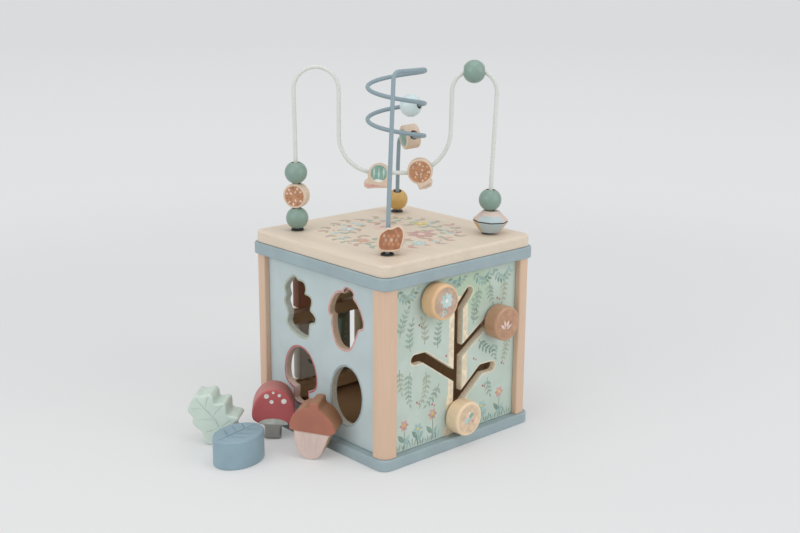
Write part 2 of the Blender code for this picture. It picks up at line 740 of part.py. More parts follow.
def build_left_stack():
    bore_end = ball_half_height()
    foot = Vector((-FOOT, -FOOT, 0))
    lean = white_leg_direction(-1)
    low = COLLAR_HIGH + GAP + bore_end
    middle = low + bore_end + GAP + DISC_RADIUS
    high = middle + DISC_RADIUS + GAP + bore_end
    frames = [leg_frame(foot, lean, height) for height in (low, middle, high)]
    ball("bead_left_lower", frames[0], SAGE)
    facing = Matrix.Rotation(math.radians(DISC_FACING), 4, "Z")
    disc = ellipse(DISC_RADIUS, DISC_RADIUS, 28)
    slice_bead("bead_left_disc", disc, DISC_THICKNESS, frames[1] @ facing, TERRACOTTA)
    ball("bead_left_upper", frames[2], SAGE)


def white_leg_direction(side):
    """Direction up the outer leg of the white wire, on the left (-1) or the right (1)."""
    corner = WHITE_CORNERS[0] if side < 0 else WHITE_CORNERS[-1]
    foot = ACROSS * (FOOT_REACH * side) + UP * COLLAR_HIGH
    return (ACROSS * corner[0] + UP * corner[1] - foot).normalized()


def leg_frame(foot, direction, height):
    """A frame on a leg at a height, Z up the leg and X across the maze."""
    start = Vector((foot.x, foot.y, COLLAR_HIGH))
    along = (height - COLLAR_HIGH) / direction.z
    return axis_frame(start + direction * along, direction, ACROSS)


def build_right_stack():
    foot = Vector((FOOT, FOOT, 0))
    lean = white_leg_direction(1)
    below, above = 10.2 * MM, 8.8 * MM
    waist, groove = 0.7 * MM, 15 * MM
    profile = [(0, -below), (9 * MM, -below), (16 * MM, -waist), (groove, -waist / 2)]
    profile += [(groove, waist / 2), (16 * MM, waist), (7.4 * MM, above), (0, above)]
    low = COLLAR_HIGH + GAP + below
    frame = leg_frame(foot, lean, low)
    aside = Matrix.Translation((BICONE_ASIDE, 0, 0))
    bicone = add_mesh("bead_right_bicone", lathe(profile, 8, closed=False), PEACH, frame @ aside)
    combine(bicone, cylinder_cutter("bicone_bore", BORE / 2, -2 * below, 2 * below, frame @ aside))
    ball("bead_right_upper", leg_frame(foot, lean, low + above + GAP + ball_half_height()), SAGE)


def ball_half_height():
    """From a ball's middle to the rim of its bore."""
    return math.sqrt((BALL / 2) ** 2 - (BORE / 2) ** 2)


def blue_leg_direction(foot, leg_point):
    return (maze_point(*leg_point[:3]) - (foot + UP * COLLAR_LOW)).normalized()


def build_feet_beads():
    front_foot = Vector((FOOT, -FOOT, 0))
    direction = blue_leg_direction(front_foot, FRONT_LEG[1])
    points = (
        (-6.6, -11.0), (-7.6, 1.3), (-1.4, 7.4), (3.2, 8.2), (8.8, 10.4), (13.2, 7.0),
        (14.2, 1.4), (12.8, -5.7), (9.4, -11.0),
    )
    frame = leg_frame(front_foot, direction, COLLAR_HIGH + FRONT_CONE_RISE)
    outline = smooth_loop(in_metres(points))
    slice_bead("bead_front_cone", outline, SLICE_THICKNESS, frame, TERRACOTTA)
    back_foot = Vector((-FOOT, FOOT, 0))
    direction = blue_leg_direction(back_foot, BACK_LEG[1])
    height = COLLAR_HIGH + BACK_BALL_RISE + ball_half_height()
    ball("bead_back_ball", leg_frame(back_foot, direction, height), MUSTARD)


def build_arch_ball():
    angle = math.radians(ARCH_BALL_TURN)
    radial = ACROSS * math.cos(angle) + UP * math.sin(angle)
    along = ACROSS * math.sin(angle) - UP * math.cos(angle)
    ball("bead_arch_ball", axis_frame(ARCH_CENTRE + radial * ARCH_BALL_REACH, along), SAGE)


def build_valley_beads():
    base = ((8.6, -11.6), (-4.6, -12.4), (-9.4, -13.2), (-12.8, -11.4), (-13.2, -7.8), (-10.2, -5.4))
    crown = tuple((x / MM, y / MM) for x, y in arc((0, -1 * MM), 9.8 * MM, 196, -32, 12))
    outline = [(y, x) for x, y in in_metres(base + crown)]
    place = maze_point(VALLEY_LEFT_PLACE[0], 0, VALLEY_LEFT_PLACE[1])
    along = (ACROSS + UP * math.tan(math.radians(VALLEY_LEFT_SLOPE))).normalized()
    frame = axis_frame(place, along, UP)
    slice_bead("bead_valley_left", outline, SLICE_THICKNESS, frame, PEACH)
    slope = math.radians(VALLEY_RIGHT_TURN)
    radial = ACROSS * math.sin(slope) - UP * math.cos(slope)
    along = ACROSS * math.cos(slope) + UP * math.sin(slope)
    frame = axis_frame(VALLEY_CENTRE + radial * VALLEY_BEAD_REACH, along, UP)
    trunk = ((6.8, -8.4), (8.8, -11.0), (7.4, -14.6), (3.0, -16.0), (-4.0, -15.6), (-4.8, -10.6))
    crown = tuple((x / MM, y / MM) for x, y in arc((0, 0), 11.2 * MM, 240, -38, 14))
    outline = [(y, x) for x, y in turned(in_metres(trunk + crown), -4)]
    slice_bead("bead_valley_right", outline, SLICE_THICKNESS, frame, TERRACOTTA)


def build_helix_beads():
    place = helix_point(HELIX_BALL_TURN)
    ahead = (helix_point(HELIX_BALL_TURN + 0.01) - place).normalized()
    inward = (maze_point(HELIX_RIGHT, 0, place.z) - place).normalized()
    ball("bead_helix_ball", axis_frame(place + inward * HELIX_BALL_INWARD, ahead), ICE)
    start = helix_point(HELIX_ANGLE)
    run = (maze_point(*BACK_LEG[0][:3]) - start).normalized()
    place = start + run * DRUM_ALONG + UP * DRUM_LIFT
    tip = Matrix.Rotation(math.radians(DRUM_TIP), 4, "Y")
    roll = Matrix.Rotation(math.radians(DRUM_ROLL), 4, "Z")
    frame = axis_frame(place, run, UP) @ tip @ roll
    outline = ellipse(DRUM_RADIUS, DRUM_RADIUS, 28)
    slice_bead("bead_drum", outline, DRUM_THICKNESS, frame, PEACH, DRUM_BORE)


def main():
    clear_scene()
    build_boards()
    build_posts()
    build_sorter()
    build_tree()
    build_knobs()
    build_tiles()
    build_gears()
    build_lid()
    build_wires()
    build_left_stack()
    build_right_stack()
    build_feet_beads()
    build_arch_ball()
    build_valley_beads()
    build_helix_beads()
    build_blocks()


main()
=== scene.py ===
# %% [markdown]
# # A wooden activity cube with a bead maze
# The real toy is a box of painted boards held by four rounded posts. Its lid lifts off and carries
# two bent wires with beads on them. One side is a shape sorter with four loose blocks, one is a tree
# whose knobs slide in a branched slot, one has meshed gears and one has turning tiles.
# The CAD model already holds every size and every place, so it is loaded first, as a fixed frame.
# Each piece made below refines one CAD node, stands exactly where that node is and moves with it.

# %% Load the packed cube
import json
import math
import random

import bmesh
import bpy
from mathutils import Matrix, Vector


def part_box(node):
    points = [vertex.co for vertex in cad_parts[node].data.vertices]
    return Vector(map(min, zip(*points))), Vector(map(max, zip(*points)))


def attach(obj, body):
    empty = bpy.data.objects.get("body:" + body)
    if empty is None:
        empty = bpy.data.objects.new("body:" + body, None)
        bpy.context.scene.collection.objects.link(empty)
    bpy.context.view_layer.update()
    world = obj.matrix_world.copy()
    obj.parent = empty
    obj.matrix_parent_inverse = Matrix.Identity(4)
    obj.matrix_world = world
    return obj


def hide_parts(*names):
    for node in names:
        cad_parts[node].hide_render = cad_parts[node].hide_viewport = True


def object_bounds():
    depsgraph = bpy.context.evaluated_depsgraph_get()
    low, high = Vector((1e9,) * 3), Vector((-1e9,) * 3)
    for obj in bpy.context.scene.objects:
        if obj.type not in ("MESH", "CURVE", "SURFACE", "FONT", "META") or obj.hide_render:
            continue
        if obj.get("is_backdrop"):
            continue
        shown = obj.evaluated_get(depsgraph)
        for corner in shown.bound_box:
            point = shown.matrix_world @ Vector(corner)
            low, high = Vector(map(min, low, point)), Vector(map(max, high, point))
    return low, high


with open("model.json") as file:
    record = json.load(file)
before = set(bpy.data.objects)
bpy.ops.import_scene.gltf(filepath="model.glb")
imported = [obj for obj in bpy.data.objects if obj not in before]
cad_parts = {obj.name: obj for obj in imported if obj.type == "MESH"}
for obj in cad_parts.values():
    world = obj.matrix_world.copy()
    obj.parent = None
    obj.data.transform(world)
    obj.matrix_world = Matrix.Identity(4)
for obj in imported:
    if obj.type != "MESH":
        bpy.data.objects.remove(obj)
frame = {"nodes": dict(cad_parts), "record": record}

MM = 0.001
GAP = 0.3 * MM
cad_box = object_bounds()
body_of_node = {}
for body, nodes in frame["record"]["behaviour"]["bodies"].items():
    for node in nodes:
        body_of_node[node] = body

# %% [markdown]
# ## Outlines
# Boards, blocks, slots, beads and leaves all start as a flat outline. It could be typed as a long list
# of points, but then no curve could be made finer. Small functions that return arcs, ovals and smooth
# loops keep every curve editable, and give the same curves as the CAD model with more points.


# %% Arcs, ovals and smooth loops
def arc(centre, radius, start, end, steps):
    """Points from start to end, angles in degrees, ends included."""
    angles = [math.radians(start + (end - start) * i / steps) for i in range(steps + 1)]
    return [(centre[0] + radius * math.cos(a), centre[1] + radius * math.sin(a)) for a in angles]


def rounded_rectangle(width, height, radius, steps=8):
    x = width / 2 - radius
    y = height / 2 - radius
    outline = []
    for quarter, centre in enumerate(((x, y), (-x, y), (-x, -y), (x, -y))):
        outline += arc(centre, radius, 90 * quarter, 90 * quarter + 90, steps)
    return outline


def ellipse(half_width, half_height, steps=64):
    angles = [2 * math.pi * i / steps for i in range(steps)]
    return [(half_width * math.cos(a), half_height * math.sin(a)) for a in angles]


def smooth_loop(points, steps=5):
    """A closed curve through points, with steps stretches between each two."""
    count = len(points)
    outline = []
    for i in range(count):
        before, start, end, after = (Vector(points[(i + k - 1) % count]) for k in range(4))
        for step in range(steps):
            t = step / steps
            pull = (end - before) * t + (2 * before - 5 * start + 4 * end - after) * t**2
            pull += (3 * start - before - 3 * end + after) * t**3
            outline.append(tuple(start + pull / 2))
    return outline


print("points on a board's outline:", len(rounded_rectangle(180 * MM, 180 * MM, 9 * MM)))


# %% Move, turn and offset an outline
def distance_to(outline, point):
    """How far a point is from the nearest stretch of an outline."""
    nearest = math.inf
    for start, end in zip(outline, outline[1:] + outline[:1]):
        start, along = Vector(start), Vector(end) - Vector(start)
        share = min(1.0, max(0.0, (point - start).dot(along) / along.length_squared))
        nearest = min(nearest, (point - start - along * share).length)
    return nearest


def offset(outline, distance):
    """The anticlockwise outline moved outwards, without the loops that tight corners give."""
    count = len(outline)
    result = []
    for i in range(count):
        before, here, after = (Vector(outline[(i + k - 1) % count]) for k in range(3))
        first = (here - before).normalized()
        second = (after - here).normalized()
        normal = Vector((first.y + second.y, -first.x - second.x)).normalized()
        lengthen = max(0.7, normal.dot(Vector((first.y, -first.x))))
        point = here + normal * (distance / lengthen)
        if distance_to(outline, point) > abs(distance) * 0.97:
            result.append(tuple(point))
    return result


def turned(outline, degrees):
    turn = Matrix.Rotation(math.radians(degrees), 2)
    return [tuple(turn @ Vector(point)) for point in outline]


def moved(outline, shift):
    return [(x + shift[0], y + shift[1]) for x, y in outline]


def in_metres(points):
    return [(x * MM, y * MM) for x, y in points]


print("a hole 1 mm wider than its block:", offset(ellipse(10 * MM, 10 * MM, 8), MM)[0])

# %% [markdown]
# ## Solids from outlines
# A board is an outline extruded, a knob or a ball is a profile spun round, and holes are cut with
# exact booleans. The edges of real painted wood are never knife sharp, and it is the small round
# along an edge that catches the light, so nearly every solid gets its edges eased with a bevel.


# %% Extrude and spin
def prism(outline, low, high):
    """The outline in XY, extruded from low to high along Z."""
    bm = bmesh.new()
    face = bm.faces.new([bm.verts.new((x, y, low)) for x, y in outline])
    raised = bmesh.ops.extrude_face_region(bm, geom=[face])["geom"]
    verts = [item for item in raised if isinstance(item, bmesh.types.BMVert)]
    bmesh.ops.translate(bm, vec=(0, 0, high - low), verts=verts)
    bmesh.ops.recalc_face_normals(bm, faces=bm.faces)
    return bm


def spun(profile, steps=56, closed=False):
    """The profile of (radius, height) points, spun about Z."""
    bm = bmesh.new()
    verts = [bm.verts.new((radius, 0, height)) for radius, height in profile]
    edges = [bm.edges.new(pair) for pair in zip(verts, verts[1:])]
    if closed:
        edges.append(bm.edges.new((verts[-1], verts[0])))
    spin = {"cent": (0, 0, 0), "axis": (0, 0, 1), "angle": 2 * math.pi, "use_merge": True}
    bmesh.ops.spin(bm, geom=verts + edges, steps=steps, **spin)
    bmesh.ops.remove_doubles(bm, verts=bm.verts, dist=0.001 * MM)
    bmesh.ops.recalc_face_normals(bm, faces=bm.faces)
    return bm


test = spun([(0, 0), (5 * MM, 0), (5 * MM, MM), (0, MM)])
print("faces on a spun disc:", len(test.faces))
test.free()


# %% Ease edges
def ease(bm, width, segments=3, angle=50, where=None):
    """Rounds the edges whose faces meet at more than the angle."""
    limit = math.radians(angle)
    edges = [e for e in bm.edges if e.is_manifold and e.calc_face_angle() > limit]
    if where:
        edges = [e for e in edges if where((e.verts[0].co + e.verts[1].co) / 2)]
    settings = {"affect": "EDGES", "segments": segments, "profile": 0.5, "material": -1}
    bmesh.ops.bevel(bm, geom=edges, offset=width, offset_type="OFFSET", **settings)
    return bm


test = ease(prism(ellipse(9 * MM, 9 * MM), 0, 5 * MM), MM)
print("faces on an eased disc:", len(test.faces))
test.free()


# %% Cut, split and place
def linked(thing):
    """The object, once it is put in the scene."""
    bpy.context.scene.collection.objects.link(thing)
    return thing


def worked_out(thing):
    """A new solid from an object, with its modifiers or its curve worked out."""
    evaluated = thing.evaluated_get(bpy.context.evaluated_depsgraph_get())
    bm = bmesh.new()
    bm.from_mesh(evaluated.to_mesh())
    evaluated.to_mesh_clear()
    return bm


def carve(bm, *tools, operation="DIFFERENCE"):
    """The solid with each tool cut from it, or joined to it. The tools are used up."""
    helpers = []
    for solid in (bm, *tools):
        mesh = bpy.data.meshes.new("helper")
        solid.to_mesh(mesh)
        solid.free()
        helpers.append(linked(bpy.data.objects.new("helper", mesh)))
    for tool in helpers[1:]:
        modifier = helpers[0].modifiers.new("Cut", "BOOLEAN")
        modifier.operation = operation
        modifier.solver = "EXACT"
        modifier.object = tool
    result = worked_out(helpers[0])
    for helper in helpers:
        bpy.data.meshes.remove(helper.data)
    return result


def split(bm, point, normal):
    """The solid with its faces parted along a plane, so that each side can get its own finish."""
    geometry = bm.verts[:] + bm.edges[:] + bm.faces[:]
    bmesh.ops.bisect_plane(bm, geom=geometry, plane_co=point, plane_no=normal)
    return bm


def placed(bm, place):
    """The solid moved by a matrix."""
    bmesh.ops.transform(bm, matrix=place, verts=bm.verts)
    return bm


def rod(radius, low, high, place=Matrix.Identity(4), steps=32):
    return placed(prism(ellipse(radius, radius, steps), low, high), place)


test = carve(ease(prism(ellipse(9 * MM, 9 * MM), 0, 5 * MM), MM), rod(3 * MM, -MM, 6 * MM))
print("faces on an eased, bored disc:", len(test.faces))
test.free()

# %% [markdown]
# ## Frames
# A picture on a side of the cube is easiest to lay out as seen from outside, with X to the right and
# Y up. A frame is the matrix that carries such a layout to its side, or a bead to its wire.


# %% Frames for sides, wires and legs
def rotation(degrees, axis="Z"):
    return Matrix.Rotation(math.radians(degrees), 4, axis)


def side_frame(azimuth):
    """A side of the cube: X to its right, Y up and Z out of it."""
    front = Matrix(((1, 0, 0, 0), (0, 0, -1, 0), (0, 1, 0, 0), (0, 0, 0, 1)))
    return rotation(azimuth + 90) @ front


FRONT, RIGHT, BACK, LEFT = (side_frame(azimuth) for azimuth in (-90, 0, 90, 180))
ACROSS = Vector((1, 1, 0)).normalized()
TOWARDS = Vector((1, -1, 0)).normalized()
UP = Vector((0, 0, 1))


def axis_frame(origin, direction, side=UP):
    """A frame with Z along direction and X as near to side as it can be."""
    z = Vector(direction).normalized()
    y = z.cross(side).normalized()
    x = y.cross(z)
    place = Matrix((x, y, z)).transposed().to_4x4()
    place.translation = origin
    return place


print("the tree's side looks along", tuple(round(v, 3) for v in RIGHT.col[2][:3]))

# %% [markdown]
# ## Shader sums
# Every finish here is made of masks and heights, such as a streak of grain or a speck. They could be
# wired node by node, but a chain of nodes is hard to read back. One class wraps a socket, so a sum
# on sockets adds its Math nodes, and one method adds any other node.


# %% A socket that can be added and multiplied
class Shade:
    """A socket of a material's node tree."""

    def __init__(self, socket):
        self.socket = socket

    def node(self, kind, settings=None, sockets=None, output=0):
        """Adds a node: its settings first, then the values or links of its sockets."""
        tree = self.socket.id_data
        made = tree.nodes.new("ShaderNode" + kind)
        for name, value in (settings or {}).items():
            setattr(made, name, value)
        for key, value in (sockets or {}).items():
            if isinstance(value, Shade):
                tree.links.new(value.socket, made.inputs[key])
            else:
                made.inputs[key].default_value = value
        return Shade(made.outputs[output])

    def sum(self, operation, first, second):
        return self.node("Math", {"operation": operation}, {0: first, 1: second})

    def __add__(self, other):
        return self.sum("ADD", self, other)

    def __sub__(self, other):
        return self.sum("SUBTRACT", self, other)

    def __rsub__(self, other):
        return self.sum("SUBTRACT", other, self)

    def __mul__(self, other):
        return self.sum("MULTIPLY", self, other)

    __radd__ = __add__
    __rmul__ = __mul__

    def smooth(self, low, high):
        """0 below low, 1 above high, and a soft step between."""
        steps = {0: self, 1: low, 2: high, 3: 0.0, 4: 1.0}
        return self.node("MapRange", {"interpolation_type": "SMOOTHSTEP"}, steps)

    def mix(self, first, second):
        """The first colour where this is 0 and the second where it is 1."""
        sockets = {0: self, 6: first, 7: second}
        return self.node("Mix", {"data_type": "RGBA"}, sockets, output=2)

    def noise(self, scale, detail=2.0, distortion=0.0):
        sockets = {"Vector": self, "Scale": scale, "Detail": detail, "Distortion": distortion}
        return self.node("TexNoise", {}, sockets)

    def drawn_out(self, axis, squeeze):
        """The place with its other two axes squeezed, so noise runs along one axis."""
        scale = [1.0 if name == axis else squeeze for name in "xyz"]
        return self.node("Mapping", {}, {"Vector": self, "Scale": scale})


print("shader sums:", [name for name in vars(Shade) if not name.startswith("__")])


# %% Colours and materials
def colour(code, light=1.0):
    """Six hex digits as the shader's own numbers, lighter or darker by light."""
    parts = [int(code[i : i + 2], 16) / 255 for i in (0, 2, 4)]
    linear = [p / 12.92 if p < 0.04045 else ((p + 0.055) / 1.055) ** 2.4 for p in parts]
    return tuple(min(1.0, p * light) for p in linear) + (1.0,)


def finish(name, recipe, **sockets):
    """A material. The recipe gets a place on the object, returns colour, roughness and height."""
    material = bpy.data.materials.new(name)
    material.use_nodes = True
    tree = material.node_tree
    shader = tree.nodes["Principled BSDF"]
    place = Shade(tree.nodes.new("ShaderNodeTexCoord").outputs["Object"])
    base, roughness, height, depth = recipe(place)
    bump = place.node("Bump", {}, {"Height": height, "Distance": depth, "Strength": 1.0})
    for key, value in (("Base Color", base), ("Roughness", roughness), ("Normal", bump)):
        tree.links.new(value.socket, shader.inputs[key])
    for key, value in sockets.items():
        shader.inputs[key.replace("_", " ")].default_value = value
    return material


print("the lid's wood as numbers:", [round(v, 3) for v in colour("dccfbf")])

# %% [markdown]
# ## Finishes
# Four kinds of surface cover the whole toy. Paint is almost even, with a faint cloudiness and a fine
# skin like orange peel, which is finer still on the smooth coat of the wires. Bare wood has streaks
# along its grain, thin pores and soft bands. Cut fibreboard, seen in holes and on inner faces, is
# tan with short dark and light specks. Printed ink is a thin wash that the board shows through.


# %% Paint, wood, fibreboard and ink
def paint(name, code, roughness=0.5, cloud=0.06, skin=0.012 * MM, fine=1.0, **sockets):
    """Paint with its clouds, the depth of its skin and the strength of its finest marks."""

    def recipe(place):
        clouds = place.noise(38.0, 3.0).smooth(0.3, 0.7)
        peel = place.noise(1300.0, 2.0)
        specks = place.noise(2600.0, 1.0).smooth(0.66, 0.8) * (0.35 * fine)
        base = clouds.mix(colour(code, 1 - cloud), colour(code, 1 + cloud))
        base = specks.mix(base, colour(code, 0.86))
        return base, roughness + (peel - 0.5) * (0.16 * fine), peel + clouds * 0.4, skin

    return finish(name, recipe, **sockets)


def wood(name, code, axis="x", contrast=0.1, roughness=0.55, **sockets):
    """Bare wood with its grain along an axis."""

    def recipe(place):
        bands = place.drawn_out(axis, 7.0).noise(9.0, 3.0, 0.6).smooth(0.35, 0.7)
        streaks = place.drawn_out(axis, 26.0).noise(26.0, 4.0)
        pores = place.drawn_out(axis, 18.0).noise(130.0, 2.0).smooth(0.6, 0.78)
        base = bands.mix(colour(code, 1 + contrast * 0.5), colour(code, 1 - contrast * 0.6))
        base = (streaks.smooth(0.35, 0.75) * 0.6).mix(base, colour(code, 1 - contrast))
        base = (pores * 0.45).mix(base, colour(code, 1 - 2.2 * contrast))
        rough = roughness + (streaks - 0.5) * 0.2
        return base, rough, streaks * 0.5 - pores * 0.6, 0.05 * MM

    return finish(name, recipe, **sockets)


def fibreboard(name, code):
    def recipe(place):
        fibres = place.drawn_out("z", 2.5).noise(420.0, 4.0)
        flecks = place.noise(1500.0, 2.0).smooth(0.58, 0.75)
        base = fibres.smooth(0.3, 0.7).mix(colour(code, 0.86), colour(code, 1.1))
        base = (flecks * 0.5).mix(base, colour(code, 0.62))
        return base, 0.78 + (fibres - 0.5) * 0.2, fibres + flecks, 0.06 * MM

    return finish(name, recipe)


def ink(name, code):
    def recipe(place):
        wash = place.noise(210.0, 3.0).smooth(0.3, 0.72)
        grain = place.noise(1800.0, 2.0)
        base = wash.mix(colour(code, 0.86), colour(code, 1.14))
        return base, 0.55 + (grain - 0.5) * 0.2, grain, 0.008 * MM

    return finish(name, recipe)


print("ways to finish a surface:", [way.__name__ for way in (paint, wood, fibreboard, ink)])

# %% Finishes that several pieces share
slate = paint("slate_paint", "9aacb1", 0.52)
mist = paint("mist_paint", "bccacc", 0.5, 0.04)
cream = paint("cream_wire_coat", "d6dad5", 0.5, 0.02, 0.0002 * MM, fine=0.1)
blue_coat = paint("blue_wire_coat", "889ba4", 0.45, 0.03, 0.0002 * MM, fine=0.1)
black = paint("black_rubber", "1c1b1e", 0.55, 0.15)
sage = paint("sage_paint", "819a8f", 0.38, 0.05, 0.006 * MM, Coat_Weight=0.15)
mustard = paint("mustard_paint", "c49f5a", 0.4, 0.06, 0.006 * MM, Coat_Weight=0.15)
ice = paint("ice_paint", "d3e3e5", 0.38, 0.04, Coat_Weight=0.15)
bare = fibreboard("bare_fibreboard", "b8946c")
cut_edge = fibreboard("cut_edge", "f0e2c8")
lid_wood = wood("lid_wood", "ddcebb", "x", 0.07, 0.5)
print("finishes so far:", len(bpy.data.materials))

# %% [markdown]
# ## Making a piece
# Each shown piece stands for one CAD node: it rides on that node's body, hides the node and takes
# the finishes it is given. The helper also compares its box with the node's, so a wrong radius or a
# missed turn shows at once as a number. Smooth shading is kept from bending across flat faces by
# weighting the normals by area.


# %% Piece helpers
def show(name, bm, finishes, body, smooth=35):
    """Turns a solid into an object that rides on a body."""
    mesh = bpy.data.meshes.new(name)
    bm.to_mesh(mesh)
    bm.free()
    for material in finishes:
        mesh.materials.append(material)
    mesh.shade_smooth()
    mesh.set_sharp_from_angle(angle=math.radians(smooth))
    piece = linked(bpy.data.objects.new(name, mesh))
    even = piece.modifiers.new("Even shading", "WEIGHTED_NORMAL")
    even.keep_sharp = True
    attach(piece, body)
    return piece


def add_piece(node, bm, finishes, smooth=35):
    """The piece that stands for a CAD node."""
    bmesh.ops.remove_doubles(bm, verts=bm.verts, dist=0.001 * MM)
    bmesh.ops.recalc_face_normals(bm, faces=bm.faces)
    corners = [[v.co[axis] for v in bm.verts] for axis in range(3)]
    low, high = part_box(node)
    drift = max(max(abs(min(c) - low[i]), abs(max(c) - high[i])) for i, c in enumerate(corners))
    if drift > 0.4 * MM:
        print(f"  {node} is {drift / MM:.2f} mm off its node's box")
    open_edges = sum(not edge.is_manifold for edge in bm.edges)
    if open_edges:
        print(f"  {node} has {open_edges} open edges")
    if not isinstance(finishes, (list, tuple)):
        finishes = [finishes]
    piece = show(f"{node}_finished", bm, finishes, body_of_node[node], smooth)
    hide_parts(node)
    print(f"{node}: {len(piece.data.polygons)} faces")
    return piece


def cad_copy(node, width, segments=2):
    """A merged copy of a CAD node with its sharp edges eased."""
    bm = bmesh.new()
    bm.from_mesh(frame["nodes"][node].data)
    bmesh.ops.remove_doubles(bm, verts=bm.verts, dist=0.002 * MM)
    bmesh.ops.dissolve_limit(bm, angle_limit=0.01, verts=bm.verts, edges=bm.edges)
    return ease(bm, width, segments)


def tint_faces(bm, index, test):
    """Gives a finish to the faces whose middle and normal pass a test."""
    for face in bm.faces:
        if test(face.calc_center_median(), face.normal):
            face.material_index = index
    return bm


print("bodies that pieces can ride on:", sorted(set(body_of_node.values()))[:4], "and more")

# %% [markdown]
# ## Boards, frame and lid
# The base and the upper frame are painted boards with round corners. The lid is pale bare wood, and
# a step under it drops into the upper frame, so that it can't slide off. All three are outlines,
# extruded and eased; the lid's step is joined on and the four wire sockets are drilled.

# %% Base board and upper frame
CUBE, CORNER, BOARD_EDGE = 180 * MM, 9 * MM, 1.2 * MM
BASE_THICKNESS = 9.9 * MM
FRAME_LOW, FRAME_HIGH = 155.8 * MM, 166.3 * MM
OPENING = 130 * MM
INNER = 76.4 * MM


def within(at, reach):
    return max(abs(at.x), abs(at.y)) < reach


board = rounded_rectangle(CUBE, CUBE, CORNER, 12)
base = ease(prism(board, 0, BASE_THICKNESS), BOARD_EDGE, 4)
for direction in ((1, 0, 0), (-1, 0, 0), (0, 1, 0), (0, -1, 0)):
    split(base, Vector(direction) * INNER, direction)
tint_faces(base, 1, lambda at, normal: normal.z > 0.9 and within(at, INNER))
add_piece("base_board", base, [slate, bare])
opening = prism(rounded_rectangle(OPENING, OPENING, 10 * MM), FRAME_LOW - MM, FRAME_HIGH + MM)
ring = carve(ease(prism(board, FRAME_LOW, FRAME_HIGH), BOARD_EDGE, 4), opening)
tint_faces(ring, 1, lambda at, normal: abs(normal.z) < 0.5 and within(at, OPENING / 2 + MM))
add_piece("upper_frame", ring, [slate, bare])

# %% Lid with its step and wire sockets
LID, STEP = 176 * MM, OPENING - 2 * MM
LID_LOW, LID_HIGH = FRAME_HIGH + GAP, 176.7 * MM
WIRE = 3.7 * MM
SOCKET = WIRE / 2 + GAP
SOCKET_FLOOR = LID_HIGH - 9 * MM
FOOT = 60 * MM
feet = {"left": (-FOOT, -FOOT), "front": (FOOT, -FOOT), "right": (FOOT, FOOT), "back": (-FOOT, FOOT)}
lid = prism(rounded_rectangle(LID, LID, CORNER, 12), LID_LOW, LID_HIGH)
ease(lid, 2.5 * MM, 5, where=lambda at: at.z > LID_HIGH - MM)
ease(lid, 0.35 * MM, 2, where=lambda at: at.z < LID_LOW + 0.1 * MM)
step = prism(rounded_rectangle(STEP, STEP, CORNER), LID_LOW - 8 * MM, LID_LOW + 4 * MM)
lid = carve(lid, step, operation="UNION")
drills = [rod(SOCKET, SOCKET_FLOOR, LID_HIGH + MM, Matrix.Translation((x, y, 0))) for x, y in feet.values()]
add_piece("top_board", carve(lid, *drills), lid_wood)

# %% [markdown]
# ## Posts
# Each post is a stick of peach-stained wood with one generously rounded corner and two grooves that
# hold the side panels. One outline drawn for the +X +Y corner is extruded and turned to the others.

# %% Four corner posts
POST_LOW, POST_HIGH = BASE_THICKNESS + GAP, FRAME_LOW - GAP
PANEL_INNER, PANEL_OUTER = 76.5 * MM, 82.5 * MM
inner, outer, soft = 73 * MM, 88 * MM, 1.5 * MM
bottom = inner + 2 * MM
groove = (PANEL_INNER - GAP, PANEL_OUTER + GAP)
post = [(inner, inner), (groove[0], inner), (groove[0], bottom), (groove[1], bottom), (groove[1], inner)]
post += arc((outer - soft, inner + soft), soft, -90, 0, 4)
post += arc((outer - 8.9 * MM, outer - 8.9 * MM), 8.9 * MM, 0, 90, 14)
post += arc((inner + soft, outer - soft), soft, 90, 180, 4)
post += [(inner, groove[1]), (bottom, groove[1]), (bottom, groove[0]), (inner, groove[0])]
post_wood = wood("post_wood", "d8b9a0", "z", 0.045, 0.48)
for quarter, name in enumerate(("right", "back", "left", "front")):
    corner_post = placed(prism(post, POST_LOW, POST_HIGH), rotation(90 * quarter))
    add_piece(f"post_{name}", corner_post, post_wood)

# %% [markdown]
# ## Prints
# The panels, lid, knobs and beads carry small printed leaves, dots and petals. A painted mask could
# hold them, but it would blur close up and each leaf would cost a dozen nodes. Here each shape is its
# own thin slab of ink on the surface, which stays crisp from any distance. The designs are plain
# leaves and dots laid out anew for this model, in the colours and at the scale of such toys.

# %% Ink colours
INK_CODES = {
    "sage": "9bb0a3", "deep": "829c90", "teal": "9fbcb9", "aqua": "b9cfcd", "jade": "86aa9d",
    "moss": "aeb6a4", "slate": "9babae", "berry": "b5676a", "pink": "cf9f99", "blush": "e4c9bf",
    "rose": "c8a399", "terracotta": "b58461", "rust": "a66f50", "umber": "b88e72", "putty": "bfa48f",
    "straw": "dcc3a6", "sand": "eadabf", "taupe": "b9aa9a", "gold": "d8c16a", "white": "e6e6e0",
    "chalk": "c3c8c1", "stem": "8a8672", "bark": "8f6b52",
}
INKS = {name: ink(f"ink_{name}", code) for name, code in INK_CODES.items()}
print("inks:", len(INKS))


# %% A leaf, and places round a centre
def blade(length, width, steps=7):
    """A leaf from the origin along X, fullest before its middle."""
    shares = [i / steps for i in range(1, steps)]
    side = [(length * t, width / 2 * math.sin(math.pi * t**0.8)) for t in shares]
    return [(0, 0)] + [(x, -y) for x, y in side] + [(length, 0)] + side[::-1]


def around(turn, distance, centre=(0, 0)):
    """The point at a turn in degrees and a distance from a centre."""
    angle = math.radians(turn)
    return Vector(centre) + Vector((math.cos(angle), math.sin(angle))) * distance


print("a leaf has", len(blade(5 * MM, 2 * MM)), "points")

# %% A printer for one face
# How deep ink starts below its surface, and how much each layer stands out.
SUNK, LAYER = 0.1 * MM, 0.05 * MM


